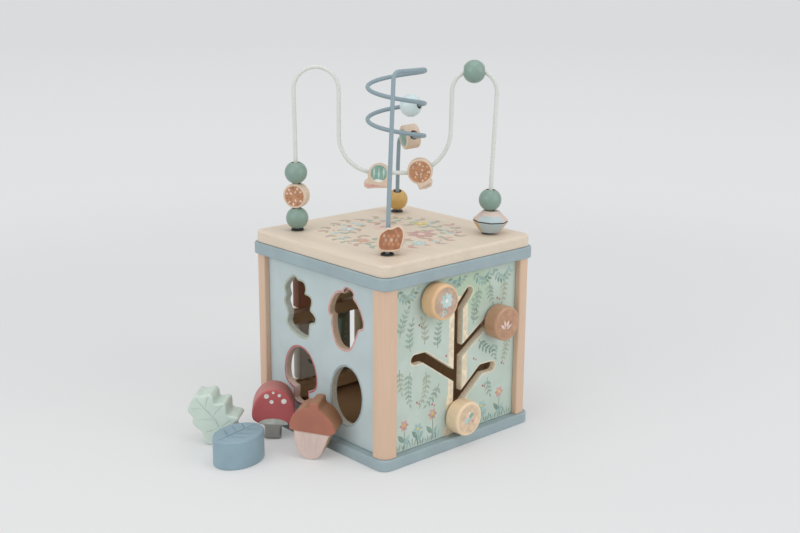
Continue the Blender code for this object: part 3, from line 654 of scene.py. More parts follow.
class Print:
    """Shapes of ink on one face, each a closed slab at its own hair's height."""

    def __init__(self, face, level, clear=None):
        self.bm = bmesh.new()
        self.face = face
        self.level = level
        self.clear = clear
        self.inks = []
        self.layer = 1
        self.layers = {}
        self.laid = 0

    def take(self, faces, name):
        """Gives faces their ink and puts them on the present layer."""
        if name not in self.inks:
            self.inks.append(name)
        for face in faces:
            face.material_index = self.inks.index(name)
        self.layers.setdefault(self.layer, []).extend(faces)

    def shape(self, outline, name):
        """Lays an outline down in an ink, unless a point of it isn't clear."""
        if self.clear and not all(self.clear(Vector(point)) for point in outline):
            return
        low = self.level - SUNK + 0.005 * MM * (self.laid % 9)
        self.laid += 1
        self.take([self.bm.faces.new([self.bm.verts.new((x, y, low)) for x, y in outline])], name)

    def leaf(self, place, heading, length, width, name):
        self.shape(moved(turned(blade(length, width), heading), place), name)

    def dot(self, place, radius, name):
        steps = 16 if radius < 3 * MM else 48
        self.shape(moved(ellipse(radius, radius, steps), place), name)

    def line(self, points, width, name="stem"):
        """A stroke that thins towards its end."""
        points = [Vector(point) for point in points]
        left, right = [], []
        for i, point in enumerate(points):
            along = (points[min(i + 1, len(points) - 1)] - points[max(i - 1, 0)]).normalized()
            side = Vector((-along.y, along.x)) * width / 2 * (1 - 0.6 * i / (len(points) - 1))
            left.append(tuple(point + side))
            right.append(tuple(point - side))
        self.shape(right + left[::-1], name)

    def sprig(self, place, heading, length, pairs, size, name, curl=0.0):
        """A curved stem with leaves in pairs and one at its tip."""
        points, angles = [Vector(place)], [heading]
        for i in range(8):
            angles.append(heading + curl * (i + 1) / 8)
            points.append(around(angles[-1], length / 8, points[-1]))
        self.line(points, 0.55 * MM)
        for pair in range(pairs):
            at = 8 * (pair + 0.8) / (pairs + 0.6)
            node, share = int(at), at - int(at)
            root = points[node].lerp(points[node + 1], share)
            grow = size * (1 - 0.35 * pair / pairs)
            for side in (-1, 1):
                self.leaf(root, angles[node] + side * 52, grow, grow * 0.42, name)
        self.leaf(points[-1], angles[-1], size * 0.75, size * 0.32, name)

    def bloom(self, place, radius, petals, name, heart="gold"):
        """Petals in a ring about a dot."""
        for i in range(petals):
            turn = 360 * i / petals
            self.leaf(around(turn, radius * 0.22, place), turn, radius * 0.8, radius * 0.55, name)
        self.layer += 1
        self.dot(place, radius * 0.26, heart)
        self.layer -= 1

    def ring(self, outline, width, name):
        """A band of ink outside an outline."""
        loops = []
        for loop in (outline, offset(outline, width)):
            verts = [self.bm.verts.new((x, y, self.level - SUNK)) for x, y in loop]
            loops += [self.bm.edges.new(pair) for pair in zip(verts, verts[1:] + verts[:1])]
        self.take(bmesh.ops.bridge_loops(self.bm, edges=loops)["faces"], name)

    def done(self, name, node):
        """Raises the ink and makes the piece, riding on the node's body."""
        for layer, faces in self.layers.items():
            raised = bmesh.ops.extrude_face_region(self.bm, geom=faces)["geom"]
            verts = [item for item in raised if isinstance(item, bmesh.types.BMVert)]
            bmesh.ops.translate(self.bm, vec=(0, 0, SUNK + LAYER * layer), verts=verts)
        placed(self.bm, self.face)
        bmesh.ops.recalc_face_normals(self.bm, faces=self.bm.faces)
        print(f"  {name}: {len(self.bm.faces)} faces in {len(self.inks)} inks")
        piece = show(name, self.bm, [INKS[n] for n in self.inks], body_of_node[node])
        return piece


print("what a printer can do:", [name for name in vars(Print) if not name.startswith("__")])

# %% [markdown]
# ## Shape sorter
# The blue side has one hole for each block, a little wider than the block, with a band of colour
# printed round it. The cut edge of each hole is stained a little by that band, so each hole gets a
# finish of its own. The outlines are used three times: for the hole, for the band and later for the
# block itself, so that they always match.

# %% Outlines of the four shapes
LEAF = (
    (-6.9, 25.7), (-2.5, 23.2), (5.2, 22.4), (7.3, 18.4), (6.5, 12.7), (14.4, 10.9),
    (15.0, 6.5), (13.2, 0.0), (19.4, -4.4), (20.3, -7.9), (13.0, -11.5), (11.4, -18.3),
    (9.4, -24.2), (-3.6, -24.2), (-16.1, -18.0), (-14.6, -8.6), (-19.4, 1.3), (-17.3, 7.5),
    (-19.0, 14.8), (-13.0, 21.7),
)
ACORN = (
    (-2.6, -25.8), (-8.0, -23.8), (-12.4, -18.4), (-15.6, -10.2), (-16.6, -1.8), (-20.6, -0.4),
    (-20.4, 6.6), (-15.4, 16.2), (-8.8, 20.2), (-4.8, 20.4), (-3.8, 25.0), (3.4, 25.4),
    (5.0, 20.0), (10.6, 16.4), (16.4, 10.2), (20.0, 1.8), (14.6, -2.8), (11.6, -12.0), (6.6, -22.8),
)
MUSHROOM_HALF = (
    (6.8, -23.6), (6.4, -18.0), (7.6, -11.8), (13.2, -9.4), (18.0, -6.0), (19.0, 1.2),
    (16.2, 11.6), (9.6, 19.8), (0.0, 22.8),
)
mushroom_points = list(MUSHROOM_HALF) + [(-x, y) for x, y in reversed(MUSHROOM_HALF) if x]
OUTLINES = {
    "leaf": smooth_loop(in_metres(LEAF))[::-1],
    "acorn": smooth_loop(in_metres(ACORN))[::-1],
    "mushroom": smooth_loop(in_metres(mushroom_points)),
    "ellipse": ellipse(18.8 * MM, 25.2 * MM, 72),
}
print("points on each shape:", {name: len(outline) for name, outline in OUTLINES.items()})

# %% Sorter panel with four holes
HOLES = {
    "leaf": ((-29.8 * MM, 116.0 * MM), 0, 1.0 * MM, "moss", "ccd1c6"),
    "acorn": ((33.6 * MM, 119.3 * MM), -8, 1.3 * MM, "pink", "d9bda3"),
    "mushroom": ((-29.2 * MM, 53.8 * MM), 2, 2.4 * MM, "berry", "dfc6b8"),
    "ellipse": ((33.4 * MM, 51.3 * MM), -8, 1.1 * MM, "slate", "cbcabd"),
}
reach = bottom - GAP
sheet = [(-reach, POST_LOW), (reach, POST_LOW), (reach, POST_HIGH), (-reach, POST_HIGH)]


def side_panel(tools):
    """A side with its openings cut, their outer edges eased and bare board on its inner face."""
    bm = carve(prism(sheet, PANEL_INNER, PANEL_OUTER), *tools)
    ease(bm, 0.45 * MM, 2, where=lambda at: at.z > PANEL_OUTER - MM and abs(at.x) < reach - MM)
    return tint_faces(bm, 1, lambda at, normal: normal.z < -0.9)


hole_outlines = {}
for name, (middle, tilt, room, _, _) in HOLES.items():
    hole_outlines[name] = moved(turned(offset(OUTLINES[name], room), tilt), middle)
cutters = [prism(o, PANEL_INNER - 2 * MM, PANEL_OUTER + 2 * MM) for o in hole_outlines.values()]
sorter = side_panel(cutters)
sorter_finishes = [mist, bare]
for name, (middle, _, _, _, code) in HOLES.items():
    sorter_finishes.append(fibreboard(f"cut_edge_{name}", code))
    for face in sorter.faces:
        away = face.calc_center_median().xy - Vector(middle)
        if abs(face.normal.z) < 0.4 and abs(away.x) < 28 * MM and abs(away.y) < 32 * MM:
            face.material_index = len(sorter_finishes) - 1
add_piece("sorter_panel", placed(sorter, FRONT), sorter_finishes)
bands = Print(FRONT, PANEL_OUTER)
for name, outline in hole_outlines.items():
    bands.ring(offset(outline, 0.35 * MM), 1.6 * MM, HOLES[name][3])
bands.done("sorter_bands", "sorter_panel")

# %% [markdown]
# ## Tree with a branched slot
# The slot is a tree: a trunk and branches that end short of the panel's edge. Each stretch is a
# straight slot with round ends, and cutting them all gives one smooth branched opening. The panel
# is washed in mint that turns greener near the trunk, which takes a mask by distance.

# %% Mint wash and tree panel
TREE_SLOT = (
    ((2.3, 27.0), (2.3, 123.5), 9.6), ((2.3, 123.5), (-28.6, 138.0), 8.8),
    ((2.3, 123.5), (14.5, 136.2), 8.8), ((2.3, 81.5), (36.0, 103.6), 8.8),
    ((36.0, 103.6), (47.6, 103.9), 8.8), ((2.3, 60.8), (-37.5, 88.4), 8.8),
    ((-37.5, 88.4), (-48.5, 88.6), 8.8), ((2.3, 38.8), (31.5, 62.0), 8.8),
    ((31.5, 62.0), (45.0, 61.7), 8.8),
)
BARK = (6.6,) + (1.2,) * 8
SLOT = []
for (start, end, width), bark in zip(TREE_SLOT, BARK):
    SLOT.append((*in_metres((start, end)), width * MM, bark * MM))


def capsule(start, end, width, steps=14):
    """Outline of a straight slot with round ends."""
    heading = math.degrees(math.atan2(end[1] - start[1], end[0] - start[0]))
    far = arc(end, width / 2, heading - 90, heading + 90, steps)
    return far + arc(start, width / 2, heading + 90, heading + 270, steps)


def slot_tools(grow, low, high):
    """The slot's stretches as solids, wider by grow on each side."""
    return [prism(capsule(start, end, width + 2 * grow), low, high) for start, end, width, _ in SLOT]


def mint_wash(place):
    about_crown = {"Vector": place, "Location": (0, -0.012, -0.092), "Scale": (0, 1, 0.55)}
    trunk = place.node("Mapping", {}, about_crown)
    away = place.node("VectorMath", {"operation": "LENGTH"}, {0: trunk}, output=1)
    clouds = place.noise(34.0, 3.0, 0.5)
    green = 1 - (away + (clouds - 0.5) * 0.03).smooth(0.012, 0.05)
    base = clouds.smooth(0.35, 0.7).mix(colour("bbcbc0"), colour("c6d4cd"))
    base = (green * 0.7).mix(base, colour("b2c9a9"))
    peel = place.noise(1300.0, 2.0)
    return base, 0.5 + (peel - 0.5) * 0.16, peel, 0.012 * MM


mint = finish("mint_wash", mint_wash)
tree_side = side_panel(slot_tools(0, PANEL_INNER - MM, PANEL_OUTER + MM))
tint_faces(tree_side, 2, lambda at, normal: abs(normal.z) < 0.4)
add_piece("tree_panel", placed(tree_side, RIGHT), [mint, bare, cut_edge])

# %% [markdown]
# The print on the tree side keeps clear of the slot and the panel's edges. A test gives how far a
# point is from every stretch of the slot, and the printer leaves out any leaf that comes too near.
# Garlands hang from the top, sprigs stand about the branches, and grass and blooms line the foot.


# %% Leaves, garlands and grass on the tree side
def clear_of_slot(point):
    if abs(point.x) > 71.5 * MM or not 11 * MM < point.y < 154 * MM:
        return False
    room = 0.5 * MM
    return all(distance_to([a, b], point) >= width / 2 + bark + room for a, b, width, bark in SLOT)


# A garland's start, end, height and sag.
GARLANDS = ((-69, -47, 152, 9), (-12, 8, 152, 6), (20, 44, 152, 9), (44, 69, 152, 11))
GARLAND_TONES = ("sage", "deep", "sage", "teal")
# A sprig's foot, heading, length, pairs of leaves and curl.
SPRIGS = (
    (-54, 97, 105, 26, 5, -35), (-38, 100, 75, 22, 4, 40), (-22, 93, 100, 28, 6, -30),
    (-66, 112, 85, 24, 5, -30), (-54, 79, 250, 28, 6, 35), (-36, 75, 285, 28, 6, -45),
    (-20, 61, 250, 22, 4, -40), (-66, 84, 265, 20, 4, 20), (26, 138, 275, 22, 5, -30),
    (40, 140, 262, 18, 4, 35), (58, 140, 280, 20, 4, -25), (20, 106, 70, 20, 4, 35),
    (28, 90, 300, 22, 4, 40), (50, 84, 245, 18, 4, 35), (64, 86, 275, 22, 5, -30),
    (40, 52, 265, 16, 3, 30),
)
GROUND = 11.3 * MM
leaves = Print(RIGHT, PANEL_OUTER, clear_of_slot)
rng = random.Random(7)
for start, end, height, sag in GARLANDS:
    for i in range(9):
        share = (i + 0.5) / 9
        place = ((start + (end - start) * share) * MM, (height - sag * 4 * share * (1 - share)) * MM)
        slope = math.degrees(math.atan2(-sag * 4 * (1 - 2 * share), end - start))
        for side in (-1, 1):
            leaves.leaf(place, slope + side * 52, 5.6 * MM, 2.6 * MM, rng.choice(GARLAND_TONES))
for x, y, heading, length, pairs, curl in SPRIGS:
    tone = rng.choice(("sage", "deep", "sage", "moss"))
    leaves.sprig((x * MM, y * MM), heading, length * MM, pairs, 6.6 * MM, tone, curl)
for x in range(-68, 70, 9):
    if abs(x - 2) > 18:
        for lean in (-22, -4, 14):
            height = rng.uniform(5, 10) * MM
            tone = rng.choice(("deep", "sage", "teal"))
            leaves.leaf(((x + lean / 9) * MM, GROUND), 90 - lean, height, 1.5 * MM, tone)
print("leaves in garlands, sprigs and grass:", leaves.laid)

# %% Flowers and berries on the tree side
FLOWERS = ((-61, 33, "pink"), (-45, 26, "teal"), (-28, 35, "rose"), (33, 27, "teal"), (55, 35, "pink"))
BERRIES = (
    (-44, 118), (-12, 84), (-46, 50), (-28, 44), (50, 124), (22, 74), (58, 62), (34, 46), (12, 142),
)
for x, height, tone in FLOWERS:
    stem = [(x * MM, GROUND), ((x + 1) * MM, (height - 8) * MM), ((x + 0.5) * MM, height * MM)]
    leaves.line(stem, 0.8 * MM)
    leaves.leaf((x * MM, 15 * MM), 52, 11 * MM, 4.8 * MM, "teal")
    leaves.leaf((x * MM, 18 * MM), 130, 10 * MM, 4.4 * MM, "deep")
    leaves.bloom(((x + 0.5) * MM, height * MM), 5.4 * MM, 6, tone, "gold")
leaves.layer = 2
for x, y in BERRIES:
    leaves.dot((x * MM, y * MM), MM, "berry")
    leaves.dot(((x + 2.6) * MM, (y - 1.6) * MM), 0.8 * MM, "berry")
leaves.done("tree_leaves", "tree_panel")

# %% [markdown]
# A sand-coloured band follows the slot, as the bark of the tree. The slot's stretches are widened,
# joined and cut again with the slot itself, so the band follows every bend at the same distance.

# %% Band of bark round the slot
ROOT = ((-13, 11), (-10.6, 24), (-8.6, 50), (13.2, 50), (15.4, 24), (18.4, 11), (3, 10.8))
outlines = [capsule(start, end, width + 2 * bark) for start, end, width, bark in SLOT]
outlines.append(smooth_loop(in_metres(ROOT), 6)[::-1])
stretches = [prism(outline, PANEL_OUTER - SUNK, PANEL_OUTER + 0.04 * MM) for outline in outlines]
bark = carve(stretches[0], *stretches[1:], operation="UNION")
bark = carve(bark, *slot_tools(0.5 * MM, PANEL_OUTER - MM, PANEL_OUTER + MM))
bark_piece = show("tree_bark", placed(bark, RIGHT), [INKS["sand"]], body_of_node["tree_panel"])
print("faces on the bark:", len(bark_piece.data.polygons))

# %% [markdown]
# ## Sliding knobs
# A knob is a thick disc of bare wood with a well-rounded rim. A peg runs from it through the slot
# to a smaller disc behind the panel, which keeps it captive. All three are spun or extruded about
# the slot's own line. The grain runs across each face, and its tone differs from knob to knob.

# %% Knobs, pegs and the discs behind
KNOB_FACE = PANEL_OUTER + MM
PEG = 3.7 * MM
KNOB_RADIUS, KNOB_THICKNESS, RIM = 15.4 * MM, 14.5 * MM, 2 * MM
rim = arc((KNOB_RADIUS - RIM, RIM), RIM, -90, 0, 7)
rim += arc((KNOB_RADIUS - RIM, KNOB_THICKNESS - RIM), RIM, 0, 90, 7)
knob_profile = [(0, 7.3 * MM), (PEG + GAP, 7.3 * MM), (PEG + GAP, 0)] + rim + [(0, KNOB_THICKNESS)]
disc_low = PANEL_INNER - 5 * MM
disc_profile = [(PEG + GAP, 0), (9 * MM, 0), (9 * MM, 4 * MM), (PEG + GAP, 4 * MM)]
KNOBS = {
    "left": ((-28.6, 138.0), wood("knob_wood_left", "e2bb90", "z", 0.07, 0.42, Coat_Weight=0.15)),
    "right": ((47.6, 103.9), wood("knob_wood_right", "bd9273", "z", 0.09, 0.34, Coat_Weight=0.3)),
    "bottom": ((2.3, 27.0), wood("knob_wood_bottom", "eed4b2", "y", 0.06, 0.42, Coat_Weight=0.15)),
}
peg_wood = wood("peg_wood", "cdb090", "x", 0.08)
knob_places = {}
for name, ((across, height), finish_of_knob) in KNOBS.items():
    at = RIGHT @ Matrix.Translation((across * MM, height * MM, 0))
    knob_places[name] = at @ Matrix.Translation((0, 0, KNOB_FACE))
    add_piece(f"knob_{name}", placed(spun(knob_profile, 72), knob_places[name]), finish_of_knob)
    peg = ease(prism(ellipse(PEG, PEG, 32), disc_low, KNOB_FACE + 7 * MM), 0.4 * MM, 2)
    add_piece(f"knob_peg_{name}", placed(peg, at), peg_wood)
    disc = ease(spun(disc_profile, 40, closed=True), 0.6 * MM, 2)
    add_piece(f"knob_retainer_{name}", placed(disc, at @ Matrix.Translation((0, 0, disc_low))), peg_wood)

# %% Small prints on the knobs
KNOB_GROUNDS = {"left": "putty", "right": "umber", "bottom": "straw"}
stalk = (-2 * MM, -4 * MM)
for name, place in knob_places.items():
    mark = Print(place, KNOB_THICKNESS)
    mark.dot((0, 0), KNOB_RADIUS - RIM - 0.4 * MM, KNOB_GROUNDS[name])
    mark.layer = 2
    if name == "left":
        mark.bloom((MM, 1.5 * MM), 7.4 * MM, 8, "aqua", "white")
        mark.sprig((-0.5 * MM, -5 * MM), -105, 5.5 * MM, 2, 3.6 * MM, "aqua", -20)
        mark.leaf((3 * MM, -6 * MM), -40, 4.2 * MM, 1.9 * MM, "pink")
    elif name == "right":
        for turn in (20, 62, 104, 146):
            mark.leaf(stalk, turn, 8 * MM, 3 * MM, "blush")
        mark.layer = 3
        for turn in (41, 83, 125):
            mark.line([stalk, around(turn, 9 * MM, stalk)], 0.6 * MM, "bark")
    else:
        mark.leaf((-6.4 * MM, -1.6 * MM), 14, 9.5 * MM, 5 * MM, "aqua")
        mark.leaf((5 * MM, 5 * MM), 215, 7 * MM, 3.6 * MM, "jade")
        mark.dot((4.4 * MM, -2.6 * MM), 1.3 * MM, "pink")
        mark.dot((0, 5.4 * MM), 1.1 * MM, "white")
    mark.done(f"knob_print_{name}", f"knob_{name}")

# %% [markdown]
# ## Print on the lid
# A loose wreath of leaves lies round the middle of the lid, with a few blooms and dots in it. Three
# rings of leaf pairs are laid by angle, each turned a little at random so that it doesn't look
# stamped. Each ring has its own layer, a hair higher, because two inks at one height would flicker.

# %% Wreath on the lid
wreath = Print(Matrix.Identity(4), LID_HIGH)
rng = random.Random(3)
# A ring's radius, pairs of leaves, leaf length and inks.
RINGS = (
    (58, 24, 10.0, ("taupe", "moss", "taupe", "rose")),
    (46, 20, 11.0, ("moss", "taupe", "rose", "aqua")),
    (34, 14, 10.0, ("taupe", "rose", "moss", "taupe")),
)
# A bloom's turn about the lid's middle, distance from it, radius and inks.
BLOOMS = (
    (28, 27, 14.0, "rose", "blush"), (100, 42, 7.5, "gold", "white"),
    (215, 40, 7.0, "aqua", "white"), (-80, 43, 7.5, "rose", "gold"),
    (-15, 50, 7.0, "aqua", "white"), (165, 20, 9.5, "blush", "rose"),
)
for radius, count, size, tones in RINGS:
    for i in range(count):
        turn = 360 * i / count + rng.uniform(-3, 3)
        place = around(turn, (radius + rng.uniform(-3, 3)) * MM)
        for side in (-1, 1):
            lean = turn + 90 + side * rng.uniform(26, 50)
            length = size * rng.uniform(0.75, 1.1) * MM
            wreath.leaf(place, lean, length, size * 0.46 * MM, rng.choice(tones))
    wreath.layer += 1
for turn, radius, size, tone, heart in BLOOMS:
    wreath.bloom(around(turn, radius * MM), size * MM, 7, tone, heart)
wreath.layer = 6
for i in range(22):
    place = around(rng.uniform(0, 360), rng.uniform(50, 62) * MM)
    wreath.dot(place, rng.uniform(0.8, 1.2) * MM, rng.choice(("rose", "gold", "moss")))
wreath.done("lid_wreath", "top_board")

# %% [markdown]
# ## Turning tiles
# Behind, on the -X side, six thick tiles turn on upright rods that stand in three rails, and two
# windows in the panel show them. The panel and rails are merged copies of their CAD nodes with
# eased edges. Tiles are rounded blocks with a bore, painted and printed with one plain shape each.

# %% Tile panel, rails and rods
panel = cad_copy("tile_panel", 0.4 * MM)
tint_faces(panel, 1, lambda at, normal: normal.x > 0.9)
tint_faces(panel, 2, lambda at, normal: abs(normal.x) < 0.4)
add_piece("tile_panel", panel, [mist, bare, cut_edge])
rail_wood = wood("rail_wood", "c9ab84", "y", 0.1, 0.6)
for name in ("lower", "middle", "upper"):
    add_piece(f"tile_rail_{name}", cad_copy(f"tile_rail_{name}", 0.35 * MM), rail_wood)
COLUMNS = {"left": -37 * MM, "middle": 0.0, "right": 37 * MM}
ROD_LOW, ROD_HIGH = 19 * MM, 152 * MM
axes = {}
for name, across in COLUMNS.items():
    axes[name] = LEFT @ Matrix.Translation((across, 0, 74 * MM)) @ rotation(-90, "X")
    stick = ease(prism(ellipse(2.5 * MM, 2.5 * MM, 28), ROD_LOW, ROD_HIGH), 0.3 * MM, 2)
    add_piece(f"tile_rod_{name}", placed(stick, axes[name]), peg_wood)

# %% Six tiles and their prints
SIDE_PAINTS = {
    "sand": paint("side_sand", "cbb48d", 0.5),
    "white": paint("side_white", "dfe1db", 0.42),
    "sage": paint("side_sage", "8aa69b", 0.45),
    "terracotta": paint("side_terracotta", "bd8466", 0.5),
    "peach": paint("side_peach", "d3ad93", 0.5),
}
TILES = (
    ("lower", 31, 84, ("sand", "sage", "white")),
    ("upper", 100, 142, ("sage", "sand", "terracotta")),
)
for row, low, high, paints in TILES:
    for (column, axis), tone in zip(axes.items(), paints):
        place = axis @ rotation(33 if (row, column) == ("lower", "middle") else 0)
        tile = ease(prism(rounded_rectangle(30 * MM, 12 * MM, 2 * MM, 6), low * MM, high * MM), 0.9 * MM, 3)
        tile = carve(tile, rod(2.8 * MM, 0, 180 * MM, steps=28))
        node = f"tile_{row}_{column}"
        add_piece(node, placed(tile, place), SIDE_PAINTS[tone])
        for side in (1, -1):
            mark = Print(place @ rotation(90 * side, "X"), 6 * MM)
            middle = (low + high) / 2 * MM
            if row == "upper":
                mark.bloom((0, middle * side), 10 * MM, 8, "white" if tone != "sand" else "pink", "gold")
            else:
                leafy = "deep" if tone != "sage" else "aqua"
                mark.sprig((0, (middle - 18 * MM) * side), 90 * side, 30 * MM, 5, 9.5 * MM, leafy, 0)
            mark.done(f"{node}_print_{'front' if side > 0 else 'back'}", node)

# %% [markdown]
# ## Meshed gears
# Three wooden gears turn on round-headed pins on the +Y side. Their teeth are involutes, the curve
# that lets one flank roll on the next, so they are drawn by its formula, with more points than the
# CAD model has. Each outer gear is turned to set one of its gaps on a tooth of the middle gear.

# %% Involute teeth
MODULE = 3.5 * MM
PRESSURE = math.radians(20)
GEARS = (("gear_top", 14, (-40, 122)), ("gear_middle", 18, (0, 83)), ("gear_bottom", 14, (40, 44)))


def gear_outline(teeth, flank_steps=6):
    """Involute teeth, with the first tooth's middle on +X."""
    pitch = MODULE * teeth / 2
    base = pitch * math.cos(PRESSURE)
    tip, root = pitch + 0.9 * MODULE, pitch - 1.2 * MODULE
    half_tooth = math.pi / 2 / teeth * (1 - 0.09)

    def involute(radius):
        roll = math.sqrt(max(0.0, (radius / base) ** 2 - 1))
        return roll - math.atan(roll)

    low = max(base, root)
    radii = [low + (tip - low) * i / flank_steps for i in range(flank_steps + 1)]
    flank = [(r, half_tooth + involute(pitch) - involute(r)) for r in radii]
    tooth = [(root, flank[0][1] + 0.02)] + flank if root < base else flank
    outline = []
    for index in range(teeth):
        middle = 2 * math.pi * index / teeth
        for radius, angle in [(r, -a) for r, a in tooth] + tooth[::-1]:
            outline.append((radius * math.cos(middle + angle), radius * math.sin(middle + angle)))
    return outline


def gear_turn(teeth, place):
    """Turn that sets a tooth gap of an outer gear on a tooth of the middle gear."""
    _, middle_teeth, (across, height) = GEARS[1]
    if teeth == middle_teeth:
        return 0.0
    towards = math.atan2(height - place[1], -across - place[0])
    pitch = 2 * math.pi / middle_teeth
    away = towards + math.pi
    tooth_offset = (away / pitch - round(away / pitch)) * pitch
    return towards + math.pi / teeth + tooth_offset * middle_teeth / teeth


print("points on the middle gear:", len(gear_outline(18)))

# %% Gear panel, gears and pins
panel = cad_copy("gear_panel", 0.25 * MM)
tint_faces(panel, 1, lambda at, normal: normal.y < -0.9)
add_piece("gear_panel", panel, [paint("gear_panel_mint", "c4d3c9", 0.5, 0.04), bare])
gear_low = PANEL_OUTER + MM
gear_high = gear_low + 8 * MM
for (node, teeth, (across, height)), tone in zip(GEARS, ("sage", "peach", "terracotta")):
    at = BACK @ Matrix.Translation((-across * MM, height * MM, 0))
    place = at @ Matrix.Rotation(gear_turn(teeth, (-across, height)), 4, "Z")
    gear = carve(prism(gear_outline(teeth), gear_low, gear_high), rod(4.3 * MM, 0, 180 * MM))
    ease(gear, 0.3 * MM, 2, where=lambda at: abs(at.z - (gear_low + gear_high) / 2) > 3.9 * MM)
    add_piece(node, placed(gear, place), SIDE_PAINTS[tone])
    top = gear_high + GAP
    profile = [(0, PANEL_INNER), (4 * MM, PANEL_INNER), (4 * MM, top)]
    profile += [(8.5 * MM * x, top + 4.5 * MM * y) for x, y in arc((0, 0), 1, 0, 90, 10)[:-1]]
    add_piece(f"{node}_pin", placed(spun(profile + [(0, top + 4.5 * MM)], 48), at), peg_wood)
    mark = Print(place, gear_high)
    for i in range(teeth // 2):
        turn = 720 * i / teeth
        hub = around(turn, MODULE * teeth / 2 - 8.6 * MM)
        mark.leaf(hub, turn + 60, 5.4 * MM, 2.6 * MM, "white" if teeth == 14 else "rust")
    mark.done(f"{node}_print", node)

# %% [markdown]
# ## Wires of the bead maze
# Each wire is one unbroken rod, bent through arches or wound into a helix, in a smooth plastic coat.
# A row of straight pipes would show its joints. Here the path is worked out first, with each corner
# rounded by its own radius, and a curve with a round bevel follows it and is then made a mesh.


# %% Corners and bends of the wires
COLLAR_LOW, COLLAR_HIGH = LID_HIGH + GAP, 178.3 * MM
FOOT_REACH = FOOT * math.sqrt(2)
WHITE_CORNERS = (
    (-86.9, 321.6, 19.6), (-47.4, 321.6, 19.6), (-47.4, 230.0, 32.0),
    (50.0, 230.0, 38.0), (51.0, 320.3, 18.6), (90.2, 320.3, 18.6),
)
FRONT_LEG = (
    (0.0, FOOT_REACH / MM, COLLAR_LOW / MM, 6), (0.6, 77, 216, 120),
    (2.4, 42, 322.0, 8), (27.4, 14, 321.8, 14),
)
BACK_LEG = (
    (2.4, -65.5, 250.9, 9), (1.4, -69.5, 226, 60), (0.0, -FOOT_REACH / MM, COLLAR_LOW / MM, 6),
)
HELIX_ANGLE = math.radians(743)
HELIX_MIDDLE, HELIX_RADIUS, HELIX_TOP, HELIX_PITCH = 2.6 * MM, 24.8 * MM, 319.3 * MM, 28.1 * MM


def fillet(points):
    """A path of straight lines through (place, radius) with each corner rounded."""
    places = [Vector(place) for place, _ in points]
    path = [places[0]]
    for i in range(1, len(points) - 1):
        corner, radius = places[i], points[i][1]
        arrive = (corner - places[i - 1]).normalized()
        leave = (places[i + 1] - corner).normalized()
        angle = arrive.angle(leave)
        start = corner - arrive * radius * math.tan(angle / 2)
        centre = start + (leave - arrive * arrive.dot(leave)).normalized() * radius
        normal = arrive.cross(leave).normalized()
        steps = max(3, round(math.degrees(angle) / 4))
        for step in range(steps + 1):
            turn = Matrix.Rotation(angle * step / steps, 3, normal)
            path.append(centre + turn @ (start - centre))
    path.append(places[-1])
    return path


def maze_point(right, towards, height):
    return ACROSS * right + TOWARDS * towards + UP * height


def helix_point(angle):
    """Going down anticlockwise from its right side, seen from above."""
    right = HELIX_MIDDLE + HELIX_RADIUS * math.cos(angle)
    height = HELIX_TOP - HELIX_PITCH * angle / (2 * math.pi)
    return maze_point(right, -HELIX_RADIUS * math.sin(angle), height)


print("the helix starts at", tuple(round(v / MM, 1) for v in helix_point(0)), "mm")

# %% Paths of the wires
wire_low = SOCKET_FLOOR + GAP
corners = [(-FOOT_REACH, wire_low, 0), (-FOOT_REACH, COLLAR_HIGH, 4 * MM)]
corners += [tuple(v * MM for v in corner) for corner in WHITE_CORNERS]
corners += [(FOOT_REACH, COLLAR_HIGH, 4 * MM), (FOOT_REACH, wire_low, 0)]
white_path = fillet([(ACROSS * s + UP * z, radius) for s, z, radius in corners])
lead_in = [(maze_point(0, FOOT_REACH, wire_low), 0)]
lead_in += [(maze_point(x * MM, y * MM, z * MM), radius * MM) for x, y, z, radius in FRONT_LEG]
lead_out = [(maze_point(x * MM, y * MM, z * MM), radius * MM) for x, y, z, radius in BACK_LEG]
lead_out += [(maze_point(0, -FOOT_REACH, wire_low), 0)]
coil = [helix_point(HELIX_ANGLE * step / 148) for step in range(1, 148)]
blue_path = fillet(lead_in + [(helix_point(0), 0)]) + coil
blue_path += fillet([(helix_point(HELIX_ANGLE), 0)] + lead_out)
print("points on the wires:", len(white_path), len(blue_path))


# %% Wires and collars
def tube(path, radius):
    """A round rod along a path, with closed ends."""
    curve = bpy.data.curves.new("path", "CURVE")
    curve.dimensions = "3D"
    curve.bevel_depth = radius
    curve.bevel_resolution = 6
    curve.use_fill_caps = True
    spline = curve.splines.new("POLY")
    spline.points.add(len(path) - 1)
    for point, place in zip(spline.points, path):
        point.co = (*place, 1)
    bm = worked_out(linked(bpy.data.objects.new("path", curve)))
    bpy.data.curves.remove(curve)
    return bm


add_piece("white_wire", tube(white_path, WIRE / 2), cream)
add_piece("blue_wire", tube(blue_path, WIRE / 2), blue_coat)
collar = [
    (SOCKET, COLLAR_LOW), (5.8 * MM, COLLAR_LOW), (5.4 * MM, COLLAR_HIGH), (SOCKET + GAP, COLLAR_HIGH),
]
for name, (x, y) in feet.items():
    ring = ease(spun(collar, 40, closed=True), 0.3 * MM, 3)
    add_piece(f"collar_{name}", placed(ring, Matrix.Translation((x, y, 0))), black)

# %% [markdown]
# ## Round beads
# A bead is a turned wooden ball with a bore wider than the wire. A plain sphere would close over the
# wire, so the profile runs from one rim of the bore over the ball to the other rim and back along
# the bore. The rims are eased, and the bore shows bare wood where the paint stops.

# %% Where beads sit on legs
BALL, BORE = 20 * MM, 7.6 * MM
RIM_HEIGHT = math.sqrt((BALL / 2) ** 2 - (BORE / 2) ** 2)
bore_wood = wood("bore_wood", "9a7c60", "z", 0.15, 0.75)


